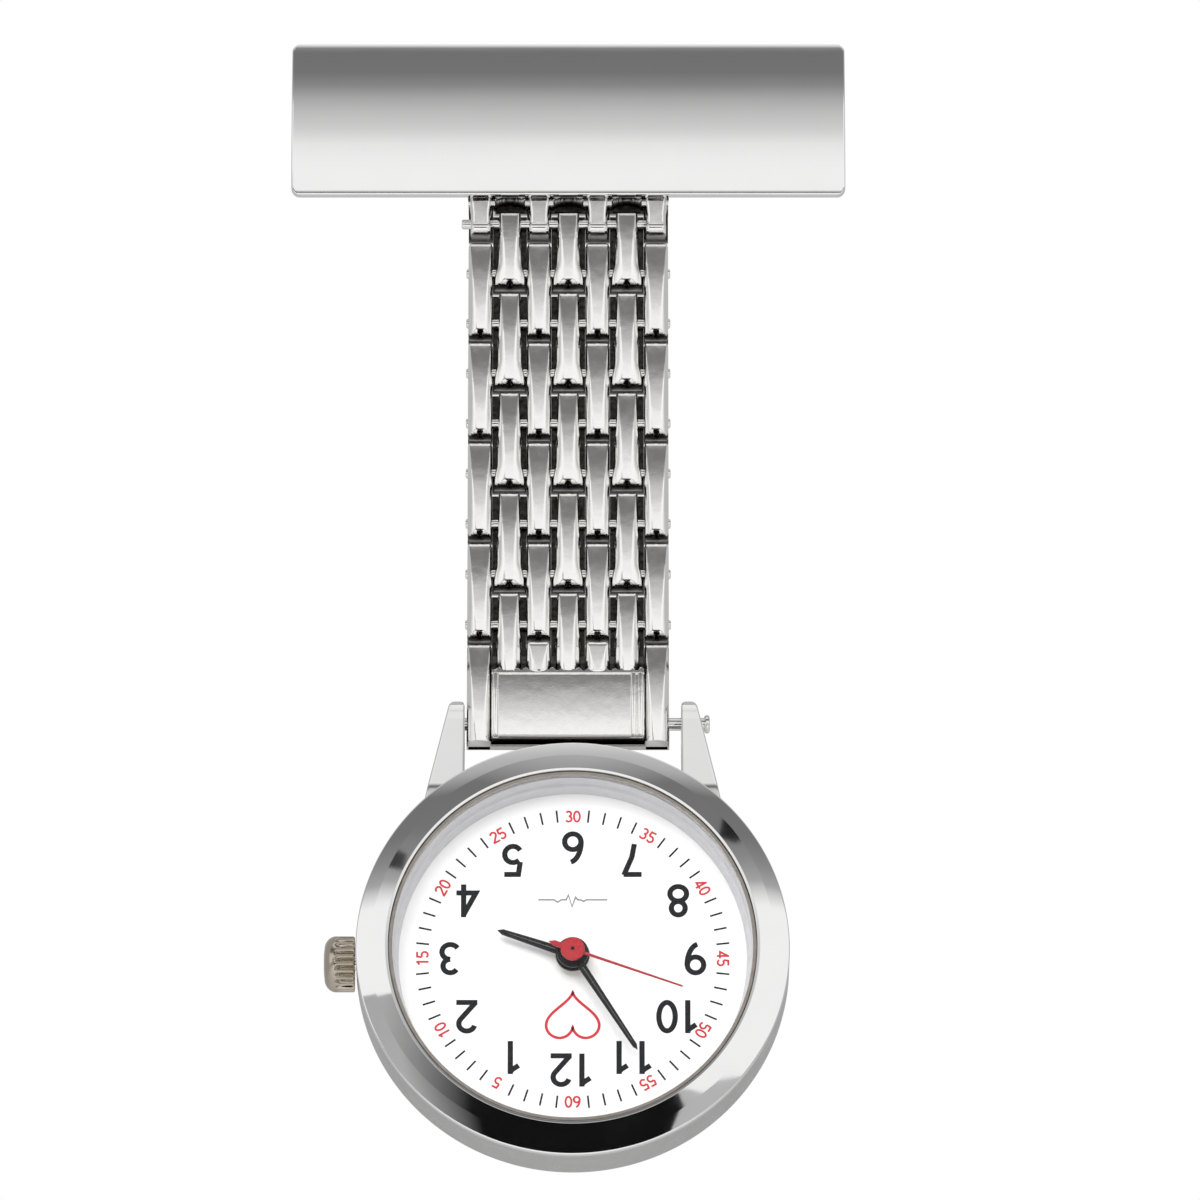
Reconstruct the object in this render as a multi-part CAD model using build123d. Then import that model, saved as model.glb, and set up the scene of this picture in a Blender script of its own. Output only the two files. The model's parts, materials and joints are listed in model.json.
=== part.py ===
"""A nurse's fob watch: a brooch bar, a brick-link strap and a quartz watch hung upside down.

Millimetres.  +Z is up and the dial faces -Y.  The origin is the middle of the brooch pin's shaft.
The watch hangs straight down from that pin, so every strap hinge runs along X in one plane.
"""

import math
import os

from build123d import *

# ---------------------------------------------------------------- brooch bar
BAR_WIDTH = 39.2
BAR_HEIGHT = 11.5
BAR_SHEET = 0.6
BAR_RADIUS = 25.0
BAR_EDGE_ROUND = 0.15
BACK_PLATE_WIDTH = 38.0
BACK_PLATE_HEIGHT = 10.2
BACK_PLATE_FRONT = -3.6
BACK_PLATE_BACK = -2.8
STRIP_HALF_LENGTH = 15.4
STRIP_HALF_HEIGHT = 1.9
STRIP_BACK = -2.2

# ---------------------------------------------------------------- brooch pin and catch
PIN_RADIUS = 0.4
PIN_HINGE_X = -13.5
PIN_TIP_X = 14.6
PIN_TAPER = 2.2
PIN_EYE_RADIUS = 1.0
PIN_EYE_HALF_THICKNESS = 0.45
RIVET_RADIUS = 0.35
HINGE_EAR_INNER = 0.5
HINGE_EAR_OUTER = 1.1
CATCH_START_X = 12.4
CATCH_END_X = 14.2
CATCH_OUTER_RADIUS = 1.35
SLEEVE_OUTER_RADIUS = 1.0
SLEEVE_BORE_RADIUS = 0.55
CATCH_SLOT = 1.0

# ---------------------------------------------------------------- strap
STRAP_Y = -2.2
FIRST_PIN_Z = -7.31
PIN_SPACING = 3.77
PIN_COUNT = 9
STRAP_PIN_RADIUS = 0.35
STRAP_PIN_HALF_LENGTH = 7.2
COLUMN_PITCH = 2.065
INNER_COLUMNS = (-2, 0, 2)
OUTER_COLUMNS = (-3, -1, 1, 3)
LINK_OVERHANG = 1.45
LINK_FRONT = -1.2
LINK_BACK = 1.15
LINK_BOW = 0.08
SHOULDER_DROP = 0.5
OUTER_WIDTH = 1.72
INNER_WIDTH = 1.6
INNER_NECK = 1.37
WING_HALF_WIDTH = 1.12
RUNNING_CLEARANCE = 0.04

# ---------------------------------------------------------------- strap's end pieces
END_HALF_WIDTH = 7.08
SHORT_OVERHANG = 0.75
END_ROW_TOP = LINK_OVERHANG + 0.85
PANEL_TOP_Z = -41.4
PANEL_HALF_WIDTH = 5.2
END_BOTTOM_Z = -46.35

# ---------------------------------------------------------------- watch case
LUG_PIN_Z = -44.85
LUG_PIN_RADIUS = 0.45
CASE_X = 0.35
CASE_Z = -62.65
CASE_RADIUS = 15.0
BEZEL_EDGE_Y = -6.4
BEZEL_INNER_RADIUS = 12.93
BEZEL_RISE = 0.6
BEZEL_SEAT_Y = -6.0
CASE_WALL_END_Y = -2.3
CASE_REAR_Y = -0.2
CASE_REAR_RADIUS = 13.4
CASE_BORE_RADIUS = 13.0
BEZEL_SKIRT_RADIUS = 13.5
BEZEL_SKIRT_END_Y = -5.2
LUG_INNER_X = 7.55
LUG_TIP_WIDTH = 1.2
LUG_ROOT_WIDTH = 2.5
LUG_TIP_RADIUS = 1.6
LUG_PIN_REACH = LUG_INNER_X + 1.55

# ---------------------------------------------------------------- crystal, dial and hands
CRYSTAL_RADIUS = 12.45
CRYSTAL_FRONT_Y = -7.1
CRYSTAL_BACK_Y = -6.4
CRYSTAL_BEVEL = 0.12
DIAL_FRONT_Y = -3.9
DIAL_BACK_Y = -3.55
DIAL_RADIUS = 12.9
DIAL_OPENING = 12.05
HOUR_HAND_ANGLE = 109.0
MINUTE_HAND_ANGLE = 327.6
SECOND_HAND_ANGLE = 289.5
HOUR_HAND_LENGTH = 5.5
MINUTE_HAND_LENGTH = 8.35
SECOND_HAND_LENGTH = 8.1
SECOND_TAIL_LENGTH = 1.75
HOUR_HAND_Y = (-4.85, -4.65)
MINUTE_HAND_Y = (-5.4, -5.22)
SECOND_HAND_Y = (-6.08, -5.96)

# ---------------------------------------------------------------- crown and movement
CROWN_Y = -2.65
CROWN_RADIUS = 1.95
CROWN_GAP = 0.1
CROWN_LENGTH = 2.1
CROWN_FLUTES = 22
STEM_RADIUS = 0.45
MOVEMENT_RADIUS = 9.7
PLATE_FRONT_Y = -3.0
PLATE_BACK_Y = -2.0
TRAIN_COVER_Y = (-0.7, -0.4)
SECONDS_ARBOR_RADIUS = 0.1
CANNON_RADIUS = 0.35
HOUR_TUBE_RADIUS = 0.75
WHEEL_THICKNESS = 0.15
TRAIN_LEVELS = (-1.95, -1.65, -1.35, -1.05)
THIRD_WHEEL_AT = (2.6, 215.0)
INTERMEDIATE_AT = (2.7, 100.0)
ROTOR_AT = (2.2, 60.0)
MINUTE_WHEEL_AT = (2.4, 200.0)
MINUTE_POST_RADIUS = 0.12
BATTERY_RADIUS = 3.4
BATTERY_AT = (4.7, -3.7)


def strap_pin_z(number):
    """Height of a strap pin, counted from 1 at the top."""
    return FIRST_PIN_Z - PIN_SPACING * (number - 1)


def block(x, y, z):
    """A box given by its (low, high) extents along X, Y and Z."""
    centre = Pos(sum(x) / 2, sum(y) / 2, sum(z) / 2)
    return centre * Box(x[1] - x[0], y[1] - y[0], z[1] - z[0])


def rod_x(radius, x, y, z):
    """A round bar along X."""
    return Pos(sum(x) / 2, y, z) * Rot(0, 90, 0) * Cylinder(radius, x[1] - x[0])


def rod_z(radius, x, y, z):
    """A round bar along Z."""
    return Pos(x, y, sum(z) / 2) * Cylinder(radius, z[1] - z[0])


def disc(radius, y, x=0.0, z=0.0, bore=0.0):
    """A flat disc or ring facing -Y, placed from the watch's own axis."""
    height = y[1] - y[0]
    shape = Cylinder(radius, height)
    if bore:
        shape -= Cylinder(bore, height)
    return Pos(CASE_X + x, sum(y) / 2, CASE_Z + z) * Rot(90, 0, 0) * shape


def turned(points):
    """Spin an outline of (radius, depth) points about the watch's own axis."""
    outline = make_face(Polyline(*points, close=True))
    return Pos(CASE_X, 0, CASE_Z) * revolve(outline, axis=Axis.Y)


def flat(face, y):
    """A flat piece cut to an outline drawn in X and Z, filling the depths given."""
    plane = Plane(origin=(0, y[1], 0), x_dir=(1, 0, 0), z_dir=(0, -1, 0))
    return extrude(plane * face, amount=y[1] - y[0])


def polar(distance, angle):
    """A place given by its distance and angle from the watch's own axis."""
    return distance * math.cos(math.radians(angle)), distance * math.sin(math.radians(angle))


# ================================================================= brooch bar
def bar_sheet(margin=0.0):
    """The curved sheet of the bar, seen from its end, swept along its width."""
    centre_y = BACK_PLATE_FRONT + math.sqrt((BAR_RADIUS - BAR_SHEET) ** 2 - (BACK_PLATE_HEIGHT / 2) ** 2)
    half = BAR_HEIGHT / 2
    outer_y = centre_y - math.sqrt(BAR_RADIUS**2 - half**2)
    inner = BAR_RADIUS - BAR_SHEET
    inner_y = centre_y - math.sqrt(inner**2 - half**2)
    outline = ThreePointArc((outer_y, half), (centre_y - BAR_RADIUS, 0), (outer_y, -half))
    outline += Line((outer_y, -half), (inner_y, -half))
    outline += ThreePointArc((inner_y, -half), (centre_y - inner, 0), (inner_y, half))
    outline += Line((inner_y, half), (outer_y, half))
    return extrude(Plane.YZ * make_face(outline), amount=BAR_WIDTH / 2 + margin, both=True)


def make_bar_cover():
    sheet = bar_sheet()
    front = sheet.faces().sort_by(Axis.Y)[0]
    return fillet(front.edges(), BAR_EDGE_ROUND)


def make_back_plate():
    half_width = BACK_PLATE_WIDTH / 2
    half_height = BACK_PLATE_HEIGHT / 2
    return block(
        (-half_width, half_width), (BACK_PLATE_FRONT, BACK_PLATE_BACK), (-half_height, half_height)
    ) - bar_sheet(1)


def make_pin_strip():
    strip = block(
        (-STRIP_HALF_LENGTH, STRIP_HALF_LENGTH),
        (BACK_PLATE_BACK, STRIP_BACK),
        (-STRIP_HALF_HEIGHT, STRIP_HALF_HEIGHT),
    )
    ends = strip.edges().filter_by(Axis.Y)
    return fillet(ends, STRIP_HALF_HEIGHT * 0.6)


def make_hinge_bracket():
    """A folded U of sheet: a foot on the strip and two ears that hold the rivet."""
    foot_top = STRIP_BACK + 0.45
    half_length = PIN_EYE_RADIUS + 0.05
    x = (PIN_HINGE_X - half_length, PIN_HINGE_X + half_length)
    bracket = block(x, (STRIP_BACK, foot_top), (-HINGE_EAR_OUTER, HINGE_EAR_OUTER))
    for side in (-1, 1):
        z = sorted((side * HINGE_EAR_INNER, side * HINGE_EAR_OUTER))
        bracket += block(x, (STRIP_BACK, 0), z)
        bracket += rod_z(half_length, PIN_HINGE_X, 0, z)
    return bracket - rod_z(RIVET_RADIUS, PIN_HINGE_X, 0, (-2, 2))


def make_hinge_rivet():
    """A rivet through both ears, with a low head at each end."""
    reach = HINGE_EAR_OUTER + 0.3
    rivet = rod_z(RIVET_RADIUS, PIN_HINGE_X, 0, (-reach, reach))
    for side in (-1, 1):
        z = sorted((side * HINGE_EAR_OUTER, side * reach))
        head = rod_z(RIVET_RADIUS * 1.9, PIN_HINGE_X, 0, z)
        rivet += fillet(head.edges().sort_by(Axis.Z)[-1 if side > 0 else 0], 0.18)
    return rivet


def make_brooch_pin():
    """A steel wire with a flattened eye at the hinge and a ground point at the tip."""
    taper_start = PIN_TIP_X - PIN_TAPER
    shaft = rod_x(PIN_RADIUS, (PIN_HINGE_X, taper_start), 0, 0)
    point = Pos((taper_start + PIN_TIP_X) / 2, 0, 0) * Rot(0, 90, 0) * Cone(PIN_RADIUS, 0.05, PIN_TAPER)
    eye = rod_z(PIN_EYE_RADIUS, PIN_HINGE_X, 0, (-PIN_EYE_HALF_THICKNESS, PIN_EYE_HALF_THICKNESS))
    bore = rod_z(RIVET_RADIUS + RUNNING_CLEARANCE, PIN_HINGE_X, 0, (-1, 1))
    return shaft + point + eye - bore


def slotted_tube(outer, bore, x):
    """A tube along X that is open along its back, so that the pin can swing in."""
    tube = rod_x(outer, x, 0, 0) - rod_x(bore, x, 0, 0)
    return tube - block(x, (0, outer + 1), (-CATCH_SLOT / 2, CATCH_SLOT / 2))


def make_catch_barrel():
    bore = SLEEVE_OUTER_RADIUS + 0.05
    x = (CATCH_START_X, CATCH_END_X)
    foot = block(x, (STRIP_BACK, -bore - 0.1), (-0.6, 0.6))
    return slotted_tube(CATCH_OUTER_RADIUS, bore, x) + foot


def make_catch_sleeve():
    """The turning safety sleeve, with a thumb tab outside the barrel's end."""
    tab_start = CATCH_END_X + 0.1
    sleeve_end = CATCH_END_X + 0.8
    sleeve = slotted_tube(SLEEVE_OUTER_RADIUS, SLEEVE_BORE_RADIUS, (CATCH_START_X - 0.1, sleeve_end))
    tab = block((tab_start, sleeve_end - 0.1), (-0.35, 0.35), (-1.9, -SLEEVE_OUTER_RADIUS + 0.15))
    return sleeve + tab


# ================================================================= strap
def link_section(width, ridge_width, z):
    """A link's cross-section: upright sides and sloping shoulders, deeper than the link itself."""
    half = width / 2
    ridge = ridge_width / 2
    slope = (half - ridge) / SHOULDER_DROP
    beyond = 0.3
    outline = Polyline(
        (-ridge + slope * beyond, LINK_FRONT - beyond),
        (-half, LINK_FRONT + SHOULDER_DROP),
        (-half, LINK_BACK + beyond),
        (half, LINK_BACK + beyond),
        (half, LINK_FRONT + SHOULDER_DROP),
        (ridge - slope * beyond, LINK_FRONT - beyond),
        close=True,
    )
    return Pos(0, 0, z) * make_face(outline)


def side_profile(top, bottom, square_bottom=False):
    """A link seen from the side: a bowed front, a flat back and rounded ends."""
    middle = (top + bottom) / 2
    bow = LINK_FRONT - LINK_BOW
    outline = ThreePointArc((-0.95, top - 0.5), (bow, middle), (-0.95, bottom + 0.5))
    if square_bottom:
        outline += Line((-0.95, bottom + 0.5), (-0.9, bottom))
        outline += Line((-0.9, bottom), (LINK_BACK, bottom))
        outline += Line((LINK_BACK, bottom), (LINK_BACK, top - 0.6))
    else:
        outline += ThreePointArc((-0.95, bottom + 0.5), (-0.55, bottom + 0.1), (0.05, bottom))
        outline += Line((0.05, bottom), (0.6, bottom))
        outline += ThreePointArc((0.6, bottom), (1.0, bottom + 0.18), (LINK_BACK, bottom + 0.6))
        outline += Line((LINK_BACK, bottom + 0.6), (LINK_BACK, top - 0.6))
    outline += ThreePointArc((LINK_BACK, top - 0.6), (1.0, top - 0.18), (0.6, top))
    outline += Line((0.6, top), (0.05, top))
    outline += ThreePointArc((0.05, top), (-0.55, top - 0.1), (-0.95, top - 0.5))
    return extrude(Plane.YZ * make_face(outline), amount=END_HALF_WIDTH + 1, both=True)


def outer_bar(top, bottom, square_bottom=False):
    """An outer-column link: full width, its ridge narrowing towards the bottom."""
    beyond = 0.2
    sections = [
        link_section(OUTER_WIDTH, 1.35, top + beyond),
        link_section(OUTER_WIDTH, 0.75, bottom - beyond),
    ]
    return loft(sections, ruled=True) & side_profile(top, bottom, square_bottom)


def inner_bar(top, bottom, square_bottom=False):
    """An inner-column link: a narrow neck at the upper pin, widening below it."""
    neck_end = top - LINK_OVERHANG - 0.35
    beyond = 0.2
    sections = [
        link_section(INNER_NECK, 0.95, top + beyond),
        link_section(INNER_NECK, 0.95, neck_end),
        link_section(INNER_WIDTH, 0.95, neck_end - 1.2),
        link_section(INNER_WIDTH, 0.75, bottom - beyond),
    ]
    return loft(sections, ruled=True) & side_profile(top, bottom, square_bottom)


def wings(bottom):
    """Low shoulders that fill the cell beside an inner link's lower end."""
    half = INNER_WIDTH / 2 - 0.1
    outline = Polyline(
        (-half, bottom + 1.35),
        (-WING_HALF_WIDTH, bottom + 0.8),
        (-WING_HALF_WIDTH, bottom - 0.2),
        (WING_HALF_WIDTH, bottom - 0.2),
        (WING_HALF_WIDTH, bottom + 0.8),
        (half, bottom + 1.35),
        close=True,
    )
    return flat(make_face(outline), (LINK_FRONT + 0.55, LINK_BACK + 0.3))


def pin_hole(number, clearance=0.0):
    """The hole for a strap pin, through the strap's full width, at strap depth 0."""
    half = STRAP_PIN_HALF_LENGTH + 1
    return rod_x(STRAP_PIN_RADIUS + clearance, (-half, half), 0, strap_pin_z(number))


def link_row(columns, upper_pin, is_inner, upper_overhang=LINK_OVERHANG):
    """One row of equal links between two neighbouring pins."""
    top = strap_pin_z(upper_pin) + upper_overhang
    bottom = strap_pin_z(upper_pin + 1) - LINK_OVERHANG
    if is_inner:
        link = inner_bar(top, bottom) + (wings(bottom) & side_profile(top, bottom))
        clearance = RUNNING_CLEARANCE
    else:
        link = outer_bar(top, bottom)
        clearance = 0.0
    link -= pin_hole(upper_pin, clearance)
    link -= pin_hole(upper_pin + 1, clearance)
    socket = block((-0.32, 0.32), (-0.7, 0.35), (bottom - 1, bottom + 0.45))
    link -= socket
    return Compound(children=[Pos(column * COLUMN_PITCH, STRAP_Y, 0) * link for column in columns])


def make_strap_pin(number):
    """A plain steel pin; the first one stands a little proud on the left."""
    reach = STRAP_PIN_HALF_LENGTH
    offset = -0.35 if number == 1 else 0.0
    return rod_x(STRAP_PIN_RADIUS, (-reach + offset, reach + offset), STRAP_Y, strap_pin_z(number))


def make_top_end_piece():
    """The strap's head: a block soldered behind the bar, with four prongs on the first pin."""
    prong_top = -5.15
    prong_bottom = FIRST_PIN_Z - LINK_OVERHANG
    web_bottom = -6.6
    sections = [link_section(OUTER_WIDTH, 1.35, prong_top), link_section(OUTER_WIDTH, 0.75, prong_bottom - 0.2)]
    prong = loft(sections, ruled=True) & side_profile(prong_top + 2, prong_bottom)
    web = block((-END_HALF_WIDTH, END_HALF_WIDTH), (LINK_FRONT + 0.15, LINK_BACK), (web_bottom, prong_top))
    head_z = (-5.2, -2.2)
    head = block((-END_HALF_WIDTH, END_HALF_WIDTH), (BACK_PLATE_BACK - STRAP_Y, LINK_BACK), head_z)
    piece = web + head
    for column in INNER_COLUMNS:
        x = column * COLUMN_PITCH
        piece -= rod_x(1.3, (x - 0.95, x + 0.95), 0, FIRST_PIN_Z)
    for column in OUTER_COLUMNS:
        piece += Pos(column * COLUMN_PITCH, 0, 0) * prong
    return Pos(0, STRAP_Y, 0) * (piece - pin_hole(1))


def make_bottom_end_piece():
    """The strap's foot: fingers on the last pin, a framed panel and a tube for the lug pin."""
    last_pin_z = strap_pin_z(PIN_COUNT)
    finger_top = last_pin_z + LINK_OVERHANG
    row_top = last_pin_z - END_ROW_TOP
    overlap = 0.4
    body_top = PANEL_TOP_Z + 0.2
    body = block((-END_HALF_WIDTH, END_HALF_WIDTH), (-1.1, LINK_BACK), (END_BOTTOM_Z, body_top))
    body &= side_profile(body_top + 1, END_BOTTOM_Z, square_bottom=True)
    body += block((-END_HALF_WIDTH, END_HALF_WIDTH), (-0.75, LINK_BACK), (body_top, row_top - 0.15))
    finger = inner_bar(finger_top, PANEL_TOP_Z - overlap, square_bottom=True)
    short = outer_bar(row_top, PANEL_TOP_Z - overlap, square_bottom=True)
    rail = outer_bar(row_top, END_BOTTOM_Z, square_bottom=True)
    for column in INNER_COLUMNS:
        body += Pos(column * COLUMN_PITCH, 0, 0) * finger
    for column in (-1, 1):
        body += Pos(column * COLUMN_PITCH, 0, 0) * short
    for column in (-3, 3):
        body += Pos(column * COLUMN_PITCH, 0, 0) * rail
    border_y = (-1.3, -1.0)
    body += block((-PANEL_HALF_WIDTH, PANEL_HALF_WIDTH), border_y, (PANEL_TOP_Z - 0.3, PANEL_TOP_Z))
    for side in (-1, 1):
        x = sorted((side * PANEL_HALF_WIDTH, side * (PANEL_HALF_WIDTH - 0.3)))
        body += block(x, border_y, (END_BOTTOM_Z + 0.1, PANEL_TOP_Z))
    body -= pin_hole(PIN_COUNT, RUNNING_CLEARANCE)
    body -= rod_x(LUG_PIN_RADIUS + 0.05, (-8, 8), 0, LUG_PIN_Z)
    body -= block((-6.4, 6.4), (-0.7, 0.35), (END_BOTTOM_Z - 1, END_BOTTOM_Z + 0.35))
    return Pos(0, STRAP_Y, 0) * body


def make_lug_pin():
    """A through-pin held in both lugs, with a low domed head outside the right one."""
    tip = LUG_PIN_REACH
    pin = rod_x(LUG_PIN_RADIUS, (CASE_X - tip, CASE_X + tip), STRAP_Y, LUG_PIN_Z)
    head = rod_x(LUG_PIN_RADIUS + 0.2, (CASE_X + tip + 0.05, CASE_X + tip + 0.45), STRAP_Y, LUG_PIN_Z)
    neck = rod_x(LUG_PIN_RADIUS, (CASE_X + tip, CASE_X + tip + 0.1), STRAP_Y, LUG_PIN_Z)
    return pin + neck + fillet(head.edges().sort_by(Axis.X)[-1], 0.25)


# ================================================================= case
def lug_shape():
    """Both lugs: a wedge in side view cut to a tapering outline in front view."""
    pin_y = STRAP_Y
    pin_z = LUG_PIN_Z - CASE_Z
    root_z = 9.5
    side = make_face(
        Polyline(
            (BEZEL_SEAT_Y + 0.15, root_z),
            (BEZEL_SEAT_Y + 0.15, root_z + 3.6),
            (pin_y - LUG_TIP_RADIUS, pin_z + 0.2),
            (pin_y + LUG_TIP_RADIUS, pin_z),
            (CASE_REAR_Y - 1.0, root_z),
            close=True,
        )
    )
    side += Pos(pin_y, pin_z) * Circle(LUG_TIP_RADIUS)
    wedge = extrude(Plane.YZ * side, amount=12, both=True)
    lugs = None
    for hand in (-1, 1):
        outline = Polyline(
            (hand * LUG_INNER_X, root_z),
            (hand * LUG_INNER_X, pin_z + 3),
            (hand * (LUG_INNER_X + LUG_TIP_WIDTH * 0.9), pin_z + 3),
            (hand * (LUG_INNER_X + LUG_ROOT_WIDTH), root_z + 1),
            (hand * (LUG_INNER_X + LUG_ROOT_WIDTH), root_z),
            close=True,
        )
        lug = wedge & flat(make_face(outline), (-8, 4))
        lugs = lug if lugs is None else lugs + lug
    return Pos(CASE_X, 0, CASE_Z) * lugs


def make_case_body():
    shell = make_face(
        Polyline(
            (CASE_RADIUS, CASE_WALL_END_Y),
            (CASE_RADIUS, BEZEL_SEAT_Y),
            (BEZEL_SKIRT_RADIUS, BEZEL_SEAT_Y),
            (BEZEL_SKIRT_RADIUS, BEZEL_SKIRT_END_Y),
            (CASE_BORE_RADIUS, BEZEL_SKIRT_END_Y),
            (CASE_BORE_RADIUS, CASE_REAR_Y),
            (CASE_REAR_RADIUS, CASE_REAR_Y),
        )
        + ThreePointArc((CASE_REAR_RADIUS, CASE_REAR_Y), (14.62, -1.1), (CASE_RADIUS, CASE_WALL_END_Y))
    )
    body = Pos(CASE_X, 0, CASE_Z) * revolve(shell, axis=Axis.Y)
    body += lug_shape() - disc(CASE_RADIUS - 0.3, (-9, 4))
    body -= rod_x(LUG_PIN_RADIUS, (-12, 12), STRAP_Y, LUG_PIN_Z)
    return body - rod_x(STEM_RADIUS + 0.05, (CASE_X - 17, CASE_X - 11), CROWN_Y, CASE_Z)


def make_bezel():
    """The polished cone round the dial, with a step for the crystal and a skirt in the case."""
    front = BEZEL_EDGE_Y - BEZEL_RISE
    outline = [
        (CASE_RADIUS, BEZEL_EDGE_Y + 0.05),
        (CASE_RADIUS - 0.06, BEZEL_EDGE_Y),
        (BEZEL_INNER_RADIUS, front),
        (12.7, front + 0.15),
        (12.7, CRYSTAL_BACK_Y),
        (12.35, CRYSTAL_BACK_Y),
        (12.35, -6.1),
        (DIAL_RADIUS, -6.1),
        (DIAL_RADIUS, BEZEL_SKIRT_END_Y),
        (BEZEL_SKIRT_RADIUS, BEZEL_SKIRT_END_Y),
        (BEZEL_SKIRT_RADIUS, BEZEL_SEAT_Y),
        (CASE_RADIUS, BEZEL_SEAT_Y),
    ]
    return turned(outline)


def make_crystal():
    outline = [
        (0, CRYSTAL_FRONT_Y),
        (CRYSTAL_RADIUS - CRYSTAL_BEVEL, CRYSTAL_FRONT_Y),
        (CRYSTAL_RADIUS, CRYSTAL_FRONT_Y + CRYSTAL_BEVEL),
        (CRYSTAL_RADIUS, CRYSTAL_BACK_Y),
        (0, CRYSTAL_BACK_Y),
    ]
    return turned(outline)


def make_crystal_gasket():
    return disc(12.7, (CRYSTAL_FRONT_Y + 0.2, CRYSTAL_BACK_Y), bore=CRYSTAL_RADIUS)


def make_dial_ring():
    """The stepped ring that stands on the dial's rim and frames it."""
    outline = [
        (12.86, DIAL_FRONT_Y),
        (12.86, -6.05),
        (12.5, -6.05),
        (12.4, -5.1),
        (12.22, -5.0),
        (DIAL_OPENING, DIAL_FRONT_Y),
    ]
    return turned(outline)


def make_dial():
    return disc(DIAL_RADIUS, (DIAL_FRONT_Y, DIAL_BACK_Y), bore=0.9)


def make_case_back():
    """A snap-on back with a raised flat middle."""
    outline = [
        (0, -0.15),
        (12.3, -0.15),
        (12.3, -0.85),
        (12.94, -0.85),
        (12.94, CASE_REAR_Y),
        (13.3, CASE_REAR_Y),
        (13.3, 0.05),
        (12.2, 0.55),
        (11.2, 0.8),
        (0, 0.8),
    ]
    return turned(outline)


def make_case_back_gasket():
    return disc(12.94, (-1.05, -0.85), bore=12.4)


# ================================================================= crown
def crown_base_x():
    return CASE_X - CASE_RADIUS - CROWN_GAP


def make_crown():
    """A fluted cylinder with a smooth domed end."""
    base = crown_base_x()
    dome_start = base - CROWN_LENGTH * 0.62
    end = base - CROWN_LENGTH
    barrel = rod_x(CROWN_RADIUS, (end, base), 0, 0)
    barrel = fillet(barrel.edges().sort_by(Axis.X)[0], CROWN_LENGTH * 0.37)
    groove_radius = CROWN_RADIUS * math.pi / CROWN_FLUTES * 0.55
    for index in range(CROWN_FLUTES):
        angle = math.radians(360 / CROWN_FLUTES * index)
        y = (CROWN_RADIUS + groove_radius * 0.35) * math.cos(angle)
        z = (CROWN_RADIUS + groove_radius * 0.35) * math.sin(angle)
        barrel -= rod_x(groove_radius, (dome_start, base), y, z)
    barrel -= rod_x(1.0, (base - 0.7, base), 0, 0)
    barrel += rod_x(STEM_RADIUS, (base - 0.7, base), 0, 0)
    return Pos(0, CROWN_Y, CASE_Z) * barrel


def make_crown_gasket():
    """The sealing ring in the crown's recess."""
    base = crown_base_x()
    ring = rod_x(0.98, (base - 0.65, base - 0.25), CROWN_Y, CASE_Z)
    return ring - rod_x(STEM_RADIUS + 0.02, (base - 1, base), CROWN_Y, CASE_Z)


def make_stem():
    """The winding stem, with a groove for the setting lever near its inner end."""
    base = crown_base_x()
    inner_end = CASE_X - 4.2
    stem = rod_x(STEM_RADIUS, (base, inner_end), CROWN_Y, CASE_Z)
    groove_x = (CASE_X - 8.4, CASE_X - 7.7)
    groove = rod_x(STEM_RADIUS, groove_x, CROWN_Y, CASE_Z) - rod_x(0.22, groove_x, CROWN_Y, CASE_Z)
    return stem - groove


# ================================================================= hands
def hand(length, root_width, tip_width, y, angle):
    """A straight tapering hand that points to 12, which is down, turned clockwise to its angle."""
    outline = Polyline(
        (-root_width / 2, 0),
        (-tip_width / 2, -length + tip_width),
        (0, -length),
        (tip_width / 2, -length + tip_width),
        (root_width / 2, 0),
        close=True,
    )
    return Pos(CASE_X, 0, CASE_Z) * Rot(0, angle, 0) * flat(make_face(outline), y)


def make_hour_hand():
    blade = hand(HOUR_HAND_LENGTH, 0.62, 0.36, HOUR_HAND_Y, HOUR_HAND_ANGLE)
    return blade + disc(1.18, HOUR_HAND_Y) - disc(HOUR_TUBE_RADIUS, (-6, -4))


def make_minute_hand():
    blade = hand(MINUTE_HAND_LENGTH, 0.56, 0.32, MINUTE_HAND_Y, MINUTE_HAND_ANGLE)
    return blade + disc(1.1, MINUTE_HAND_Y) - disc(CANNON_RADIUS, (-6, -4))


def make_second_hand():
    """The second hand, its counterweight tail and the cap that carries it on its arbor."""
    blade = hand(SECOND_HAND_LENGTH, 0.2, 0.12, SECOND_HAND_Y, SECOND_HAND_ANGLE)
    tail = hand(SECOND_TAIL_LENGTH, 0.42, 0.36, SECOND_HAND_Y, SECOND_HAND_ANGLE + 180)
    cap = disc(0.835, (SECOND_HAND_Y[0] - 0.12, SECOND_HAND_Y[1]))
    socket = disc(SECONDS_ARBOR_RADIUS, (SECOND_HAND_Y[0], SECOND_HAND_Y[1] + 0.5))
    return blade + tail + cap - socket


# ================================================================= movement
def gear(teeth, module, y, tooth_angle, x=0.0, z=0.0, bore=0.0):
    """A toothed wheel with one tooth centred on the angle given."""
    root = module * (teeth / 2 - 1.15)
    tip = module * (teeth / 2 + 0.75)
    points = []
    for index in range(teeth):
        centre = tooth_angle + 360 / teeth * index
        pitch = 360 / teeth
        points.append(polar(root, centre - 0.24 * pitch))
        points.append(polar(tip, centre - 0.10 * pitch))
        points.append(polar(tip, centre + 0.10 * pitch))
        points.append(polar(root, centre + 0.24 * pitch))
    wheel = flat(make_face(Polyline(*points, close=True)), y)
    wheel = Pos(CASE_X + x, 0, CASE_Z + z) * wheel
    if bore:
        wheel -= disc(bore, (y[0] - 1, y[1] + 1), x, z)
    return wheel


def level(number):
    """The depths that a train wheel fills, counted from 0 next to the main plate."""
    start = TRAIN_LEVELS[number]
    return start, start + WHEEL_THICKNESS


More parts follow.
